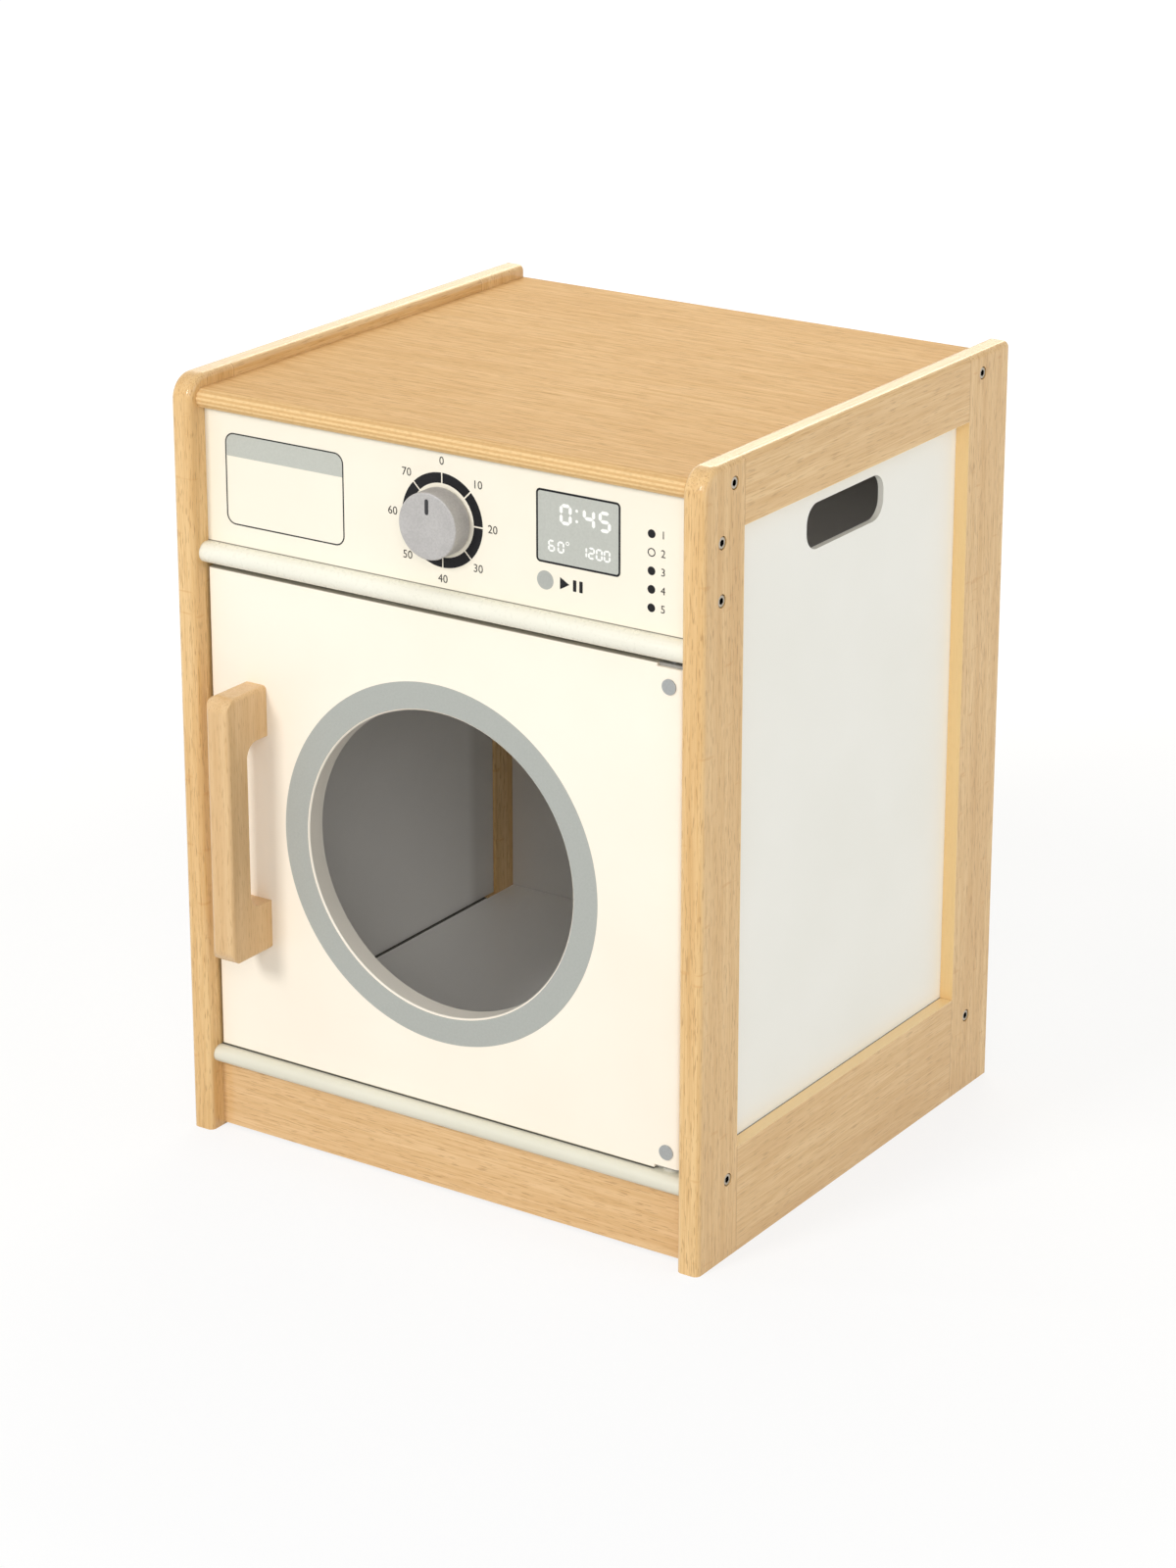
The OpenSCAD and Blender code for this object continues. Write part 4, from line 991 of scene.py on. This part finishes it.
def socketScrewTree(steps):
    # screws with a chamfered flat head and a hexagon socket, one on each point, its head to the
    # side given
    tree, given = startTree("socketScrews", {
        "Head radius": ("Float", 0.004), "Head height": ("Float", 0.003), "Chamfer": ("Float", 0.0005),
        "Shank radius": ("Float", 0.0025), "Shank length": ("Float", 0.039), "Tip": ("Float", 0.001),
        "Socket width": ("Float", 0.004), "Socket depth": ("Float", 0.002), "Finish": ("Material", None)})
    head, shank = given["Head radius"], given["Shank radius"]
    under = addNode(tree, "ShaderNodeMath", {0: given["Head height"], 1: -1.0}, operation="MULTIPLY")
    end = addNode(tree, "ShaderNodeMath", {0: under, 1: given["Shank length"]}, operation="SUBTRACT")
    tipTop = addNode(tree, "ShaderNodeMath", {0: end, 1: given["Tip"]}, operation="ADD")
    tipEnd = addNode(tree, "ShaderNodeMath", {0: shank, 1: given["Tip"]}, operation="SUBTRACT")
    edge = addNode(tree, "ShaderNodeMath", {0: given["Chamfer"], 1: -1.0}, operation="MULTIPLY")
    crown = addNode(tree, "ShaderNodeMath", {0: head, 1: given["Chamfer"]}, operation="SUBTRACT")

    # radius and height of each ring of the rod's points, from the tip up
    rings = ((tipEnd, end), (shank, tipTop), (shank, under), (head, under), (head, edge), (crown, 0.0))
    levels = len(rings) - 1
    rod = addNode(tree, "GeometryNodeMeshCylinder", {
        "Vertices": steps, "Side Segments": levels, "Radius": 1.0, "Depth": 1.0})
    position = addNode(tree, "GeometryNodeInputPosition")
    x, y, z = addNode(tree, "ShaderNodeSeparateXYZ", {0: position}).outputs
    height = addNode(tree, "ShaderNodeMath", {0: z, 1: 0.5}, operation="ADD")
    counted = addNode(tree, "ShaderNodeMath", {0: height, 1: levels}, operation="MULTIPLY")
    level = addNode(tree, "FunctionNodeFloatToInt", {0: counted}, rounding_mode="ROUND")
    picked = []
    for values in zip(*rings):
        switch = addNode(tree, "GeometryNodeIndexSwitch", data_type="FLOAT")
        while len(switch.index_switch_items) < len(rings):
            switch.index_switch_items.new()
        setInputs(tree, switch, {0: level, **dict(enumerate(values, start=1))})
        picked.append(switch)
    targetX = addNode(tree, "ShaderNodeMath", {0: x, 1: picked[0]}, operation="MULTIPLY")
    targetY = addNode(tree, "ShaderNodeMath", {0: y, 1: picked[0]}, operation="MULTIPLY")
    target = addNode(tree, "ShaderNodeCombineXYZ", {0: targetX, 1: targetY, 2: picked[1]})
    turned = addNode(tree, "GeometryNodeSetPosition", {"Geometry": rod, "Position": target})

    toCorner = 0.5 / math.cos(math.pi / 6)
    corner = addNode(tree, "ShaderNodeMath", {0: given["Socket width"], 1: toCorner}, operation="MULTIPLY")
    depth = addNode(tree, "ShaderNodeMath", {0: given["Socket depth"], 1: 2.0}, operation="MULTIPLY")
    socket = addNode(tree, "GeometryNodeMeshCylinder", {"Vertices": 6, "Radius": corner, "Depth": depth})
    screw = addNode(tree, "GeometryNodeMeshBoolean", {0: turned, 1: socket}, operation="DIFFERENCE")

    side = addNode(tree, "GeometryNodeInputNamedAttribute", {"Name": "side"}, data_type="FLOAT")
    turn = addNode(tree, "ShaderNodeMath", {0: side, 1: math.pi / 2}, operation="MULTIPLY")
    spread = addNode(tree, "GeometryNodeInstanceOnPoints", {
        "Points": given["Geometry"], "Instance": screw,
        "Rotation": addNode(tree, "ShaderNodeCombineXYZ", {1: turn})})
    return endTree(tree, spread, given["Finish"])


def screwHeads(node):
    # where each separate screw of a node has the middle of its head, and the side it faces
    bm = bmesh.new()
    bm.from_mesh(node.data)
    bmesh.ops.remove_doubles(bm, verts=bm.verts, dist=weldReach["mesh"])
    waiting, heads = set(bm.verts), []
    while waiting:
        group, edge = set(), [waiting.pop()]
        while edge:
            vertex = edge.pop()
            group.add(vertex)
            for link in vertex.link_edges:
                other = link.other_vert(vertex)
                if other in waiting:
                    waiting.remove(other)
                    edge.append(other)
        reach = max(abs(v.co.x) for v in group)
        side = 1.0 if max(v.co.x for v in group) > 0 else -1.0
        middle = [(min(v.co[i] for v in group) + max(v.co[i] for v in group)) / 2 for i in (1, 2)]
        heads.append(((side * reach, *middle), side))
    bm.free()
    return heads


def makeCabinetScrews(values):
    heads = sorted(screwHeads(nodes["cabinet_screws"]))
    mesh = bpy.data.meshes.new("screwPoints")
    mesh.from_pydata([place for place, side in heads], [], [])
    mesh.attributes.new("side", "FLOAT", "POINT").data.foreach_set("value", [side for place, side in heads])
    result = runTree("cabinetScrews", socketScrewTree(values["steps"]), {
        "Head radius": values["head"] / 2 * mm, "Head height": values["height"] * mm,
        "Chamfer": values["chamfer"] * mm, "Shank radius": values["shank"] / 2 * mm,
        "Shank length": (values["length"] - values["height"]) * mm, "Tip": values["tip"] * mm,
        "Socket width": values["socket"] * mm, "Socket depth": values["deep"] * mm,
        "Finish": solid["screw"]}, mesh)
    piece = addPiece("cabinet_socket_screws", outwardMesh(result), "cabinet")
    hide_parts("cabinet_screws")
    print("cabinet screws placed:", len(heads))


makeCabinetScrews(cabinetScrew)

portholeRing = {"inner": 206.6, "outer": 242.0, "steps": 192}


def makePortholeRing(values):
    middleX, middleZ = holeMiddle[0] / mm, holeMiddle[2] / mm
    bm = bmesh.new()
    thinSheet(bm, circlePoints(middleX, middleZ, values["outer"] / 2, values["steps"]), doorY, inkLift,
              circlePoints(middleX, middleZ, values["inner"] / 2, values["steps"]))
    addPiece("porthole_ring_print", finishMesh(bm, "portholeRing"), "door", ink["ring"])


makePortholeRing(portholeRing)
print("door printed")


studio = {
    "ambient": 0.50,
    "paperTone": "#828282",      # the floor as it is seen, and as it lights the object
    "floorTone": "#D6D6D6",
    "nearGlow": 0.77,            # what the seen floor adds near the object and far from it
    "farGlow": 0.94,
    "near": 0.6,                 # metres
    "far": 2.0,
    "floorHalf": 15,
}


def showsPlain(tree):
    # 1 for what the camera sees straight, in a mirror or through glass
    path = addNode(tree, "ShaderNodeLightPath").outputs
    straight, mirrored = path["Is Camera Ray"], path["Is Glossy Ray"]
    either = addNode(tree, "ShaderNodeMath", {0: straight, 1: mirrored}, operation="MAXIMUM")
    return addNode(tree, "ShaderNodeMath", {0: either, 1: path["Is Transmission Ray"]}, operation="MAXIMUM")


def makeFloor(values):
    # pale paper; seen straight it glows nearly white, so that only the object's shadow shows on it
    bm = bmesh.new()
    bmesh.ops.create_grid(bm, x_segments=1, y_segments=1, size=values["floorHalf"])
    floor = bpy.data.objects.new("studioFloor", finishMesh(bm, "studioFloor"))
    bpy.context.scene.collection.objects.link(floor)
    material = bpy.data.materials.new("matPaperFloor")
    material.use_nodes = True
    tree = material.node_tree
    tree.nodes.clear()
    paper = addNode(tree, "ShaderNodeBsdfDiffuse", {"Color": values["floorTone"]})
    shaded = addNode(tree, "ShaderNodeBsdfDiffuse", {"Color": values["paperTone"]})
    place = addNode(tree, "ShaderNodeTexCoord").outputs["Object"]
    away = addNode(tree, "ShaderNodeVectorMath", {0: place}, operation="LENGTH").outputs["Value"]
    level = addNode(tree, "ShaderNodeMapRange", {
        "Value": away, "From Min": values["near"], "From Max": values["far"],
        "To Min": values["nearGlow"], "To Max": values["farGlow"]})
    glow = addNode(tree, "ShaderNodeEmission", {"Color": "#FFFFFF", "Strength": level})
    seen = addNode(tree, "ShaderNodeAddShader", {0: shaded, 1: glow})
    both = addNode(tree, "ShaderNodeMixShader", {0: showsPlain(tree), 1: paper, 2: seen})
    addNode(tree, "ShaderNodeOutputMaterial", {"Surface": both})
    floor.data.materials.append(material)


def makeWorld(values):
    world = bpy.data.worlds.new("studioWorld")
    world.use_nodes = True
    tree = world.node_tree
    tree.nodes.clear()
    soft = addNode(tree, "ShaderNodeBackground", {"Color": "#FFFFFF", "Strength": values["ambient"]})
    white = addNode(tree, "ShaderNodeBackground", {"Color": "#FFFFFF", "Strength": 1.0})
    both = addNode(tree, "ShaderNodeMixShader", {0: showsPlain(tree), 1: soft, 2: white})
    addNode(tree, "ShaderNodeOutputWorld", {"Surface": both})
    bpy.context.scene.world = world


def makeLamp(name, place, aim, width, height, watts, tint="#FFFFFF"):
    data = bpy.data.lights.new(name, "AREA")
    data.shape = "RECTANGLE"
    data.size, data.size_y = width, height
    data.energy = watts
    data.color = linear(tint)[:3]
    obj = bpy.data.objects.new(name, data)
    obj.location = place
    obj.rotation_euler = (Vector(aim) - Vector(place)).to_track_quat("-Z", "Y").to_euler()
    obj.visible_camera = False
    bpy.context.scene.collection.objects.link(obj)


makeFloor(studio)
makeWorld(studio)
lampsAround = (       # name, place, aim, width, height, watts, tint
    ("keyLamp", (-1.0, -4.1, 2.6), (0, 0, 0.2), 1.1, 1.1, 88),
    ("fillLamp", (2.2, -3.3, 2.2), (0, 0, 0.2), 1.9, 1.9, 42),
    ("sideLamp", (2.6, 0.2, 0.65), (0, 0, 0.2), 1.4, 1.4, 12),
    ("rimLamp", (-1.5, 2.3, 1.5), (0, 0, 0.5), 3.0, 1.0, 10, "#FFF6DC"),
    ("topLamp", (-0.6, 1.4, 1.4), (0, 0, 0.5), 1.0, 0.6, 7.5, "#FFF6DC"),
    ("glintLamp", (-1.6, -1.0, 2.7), (0, 0, 0.5), 0.25, 0.25, 3),
)
for lamp in lampsAround:
    makeLamp(*lamp)
print("studio set")
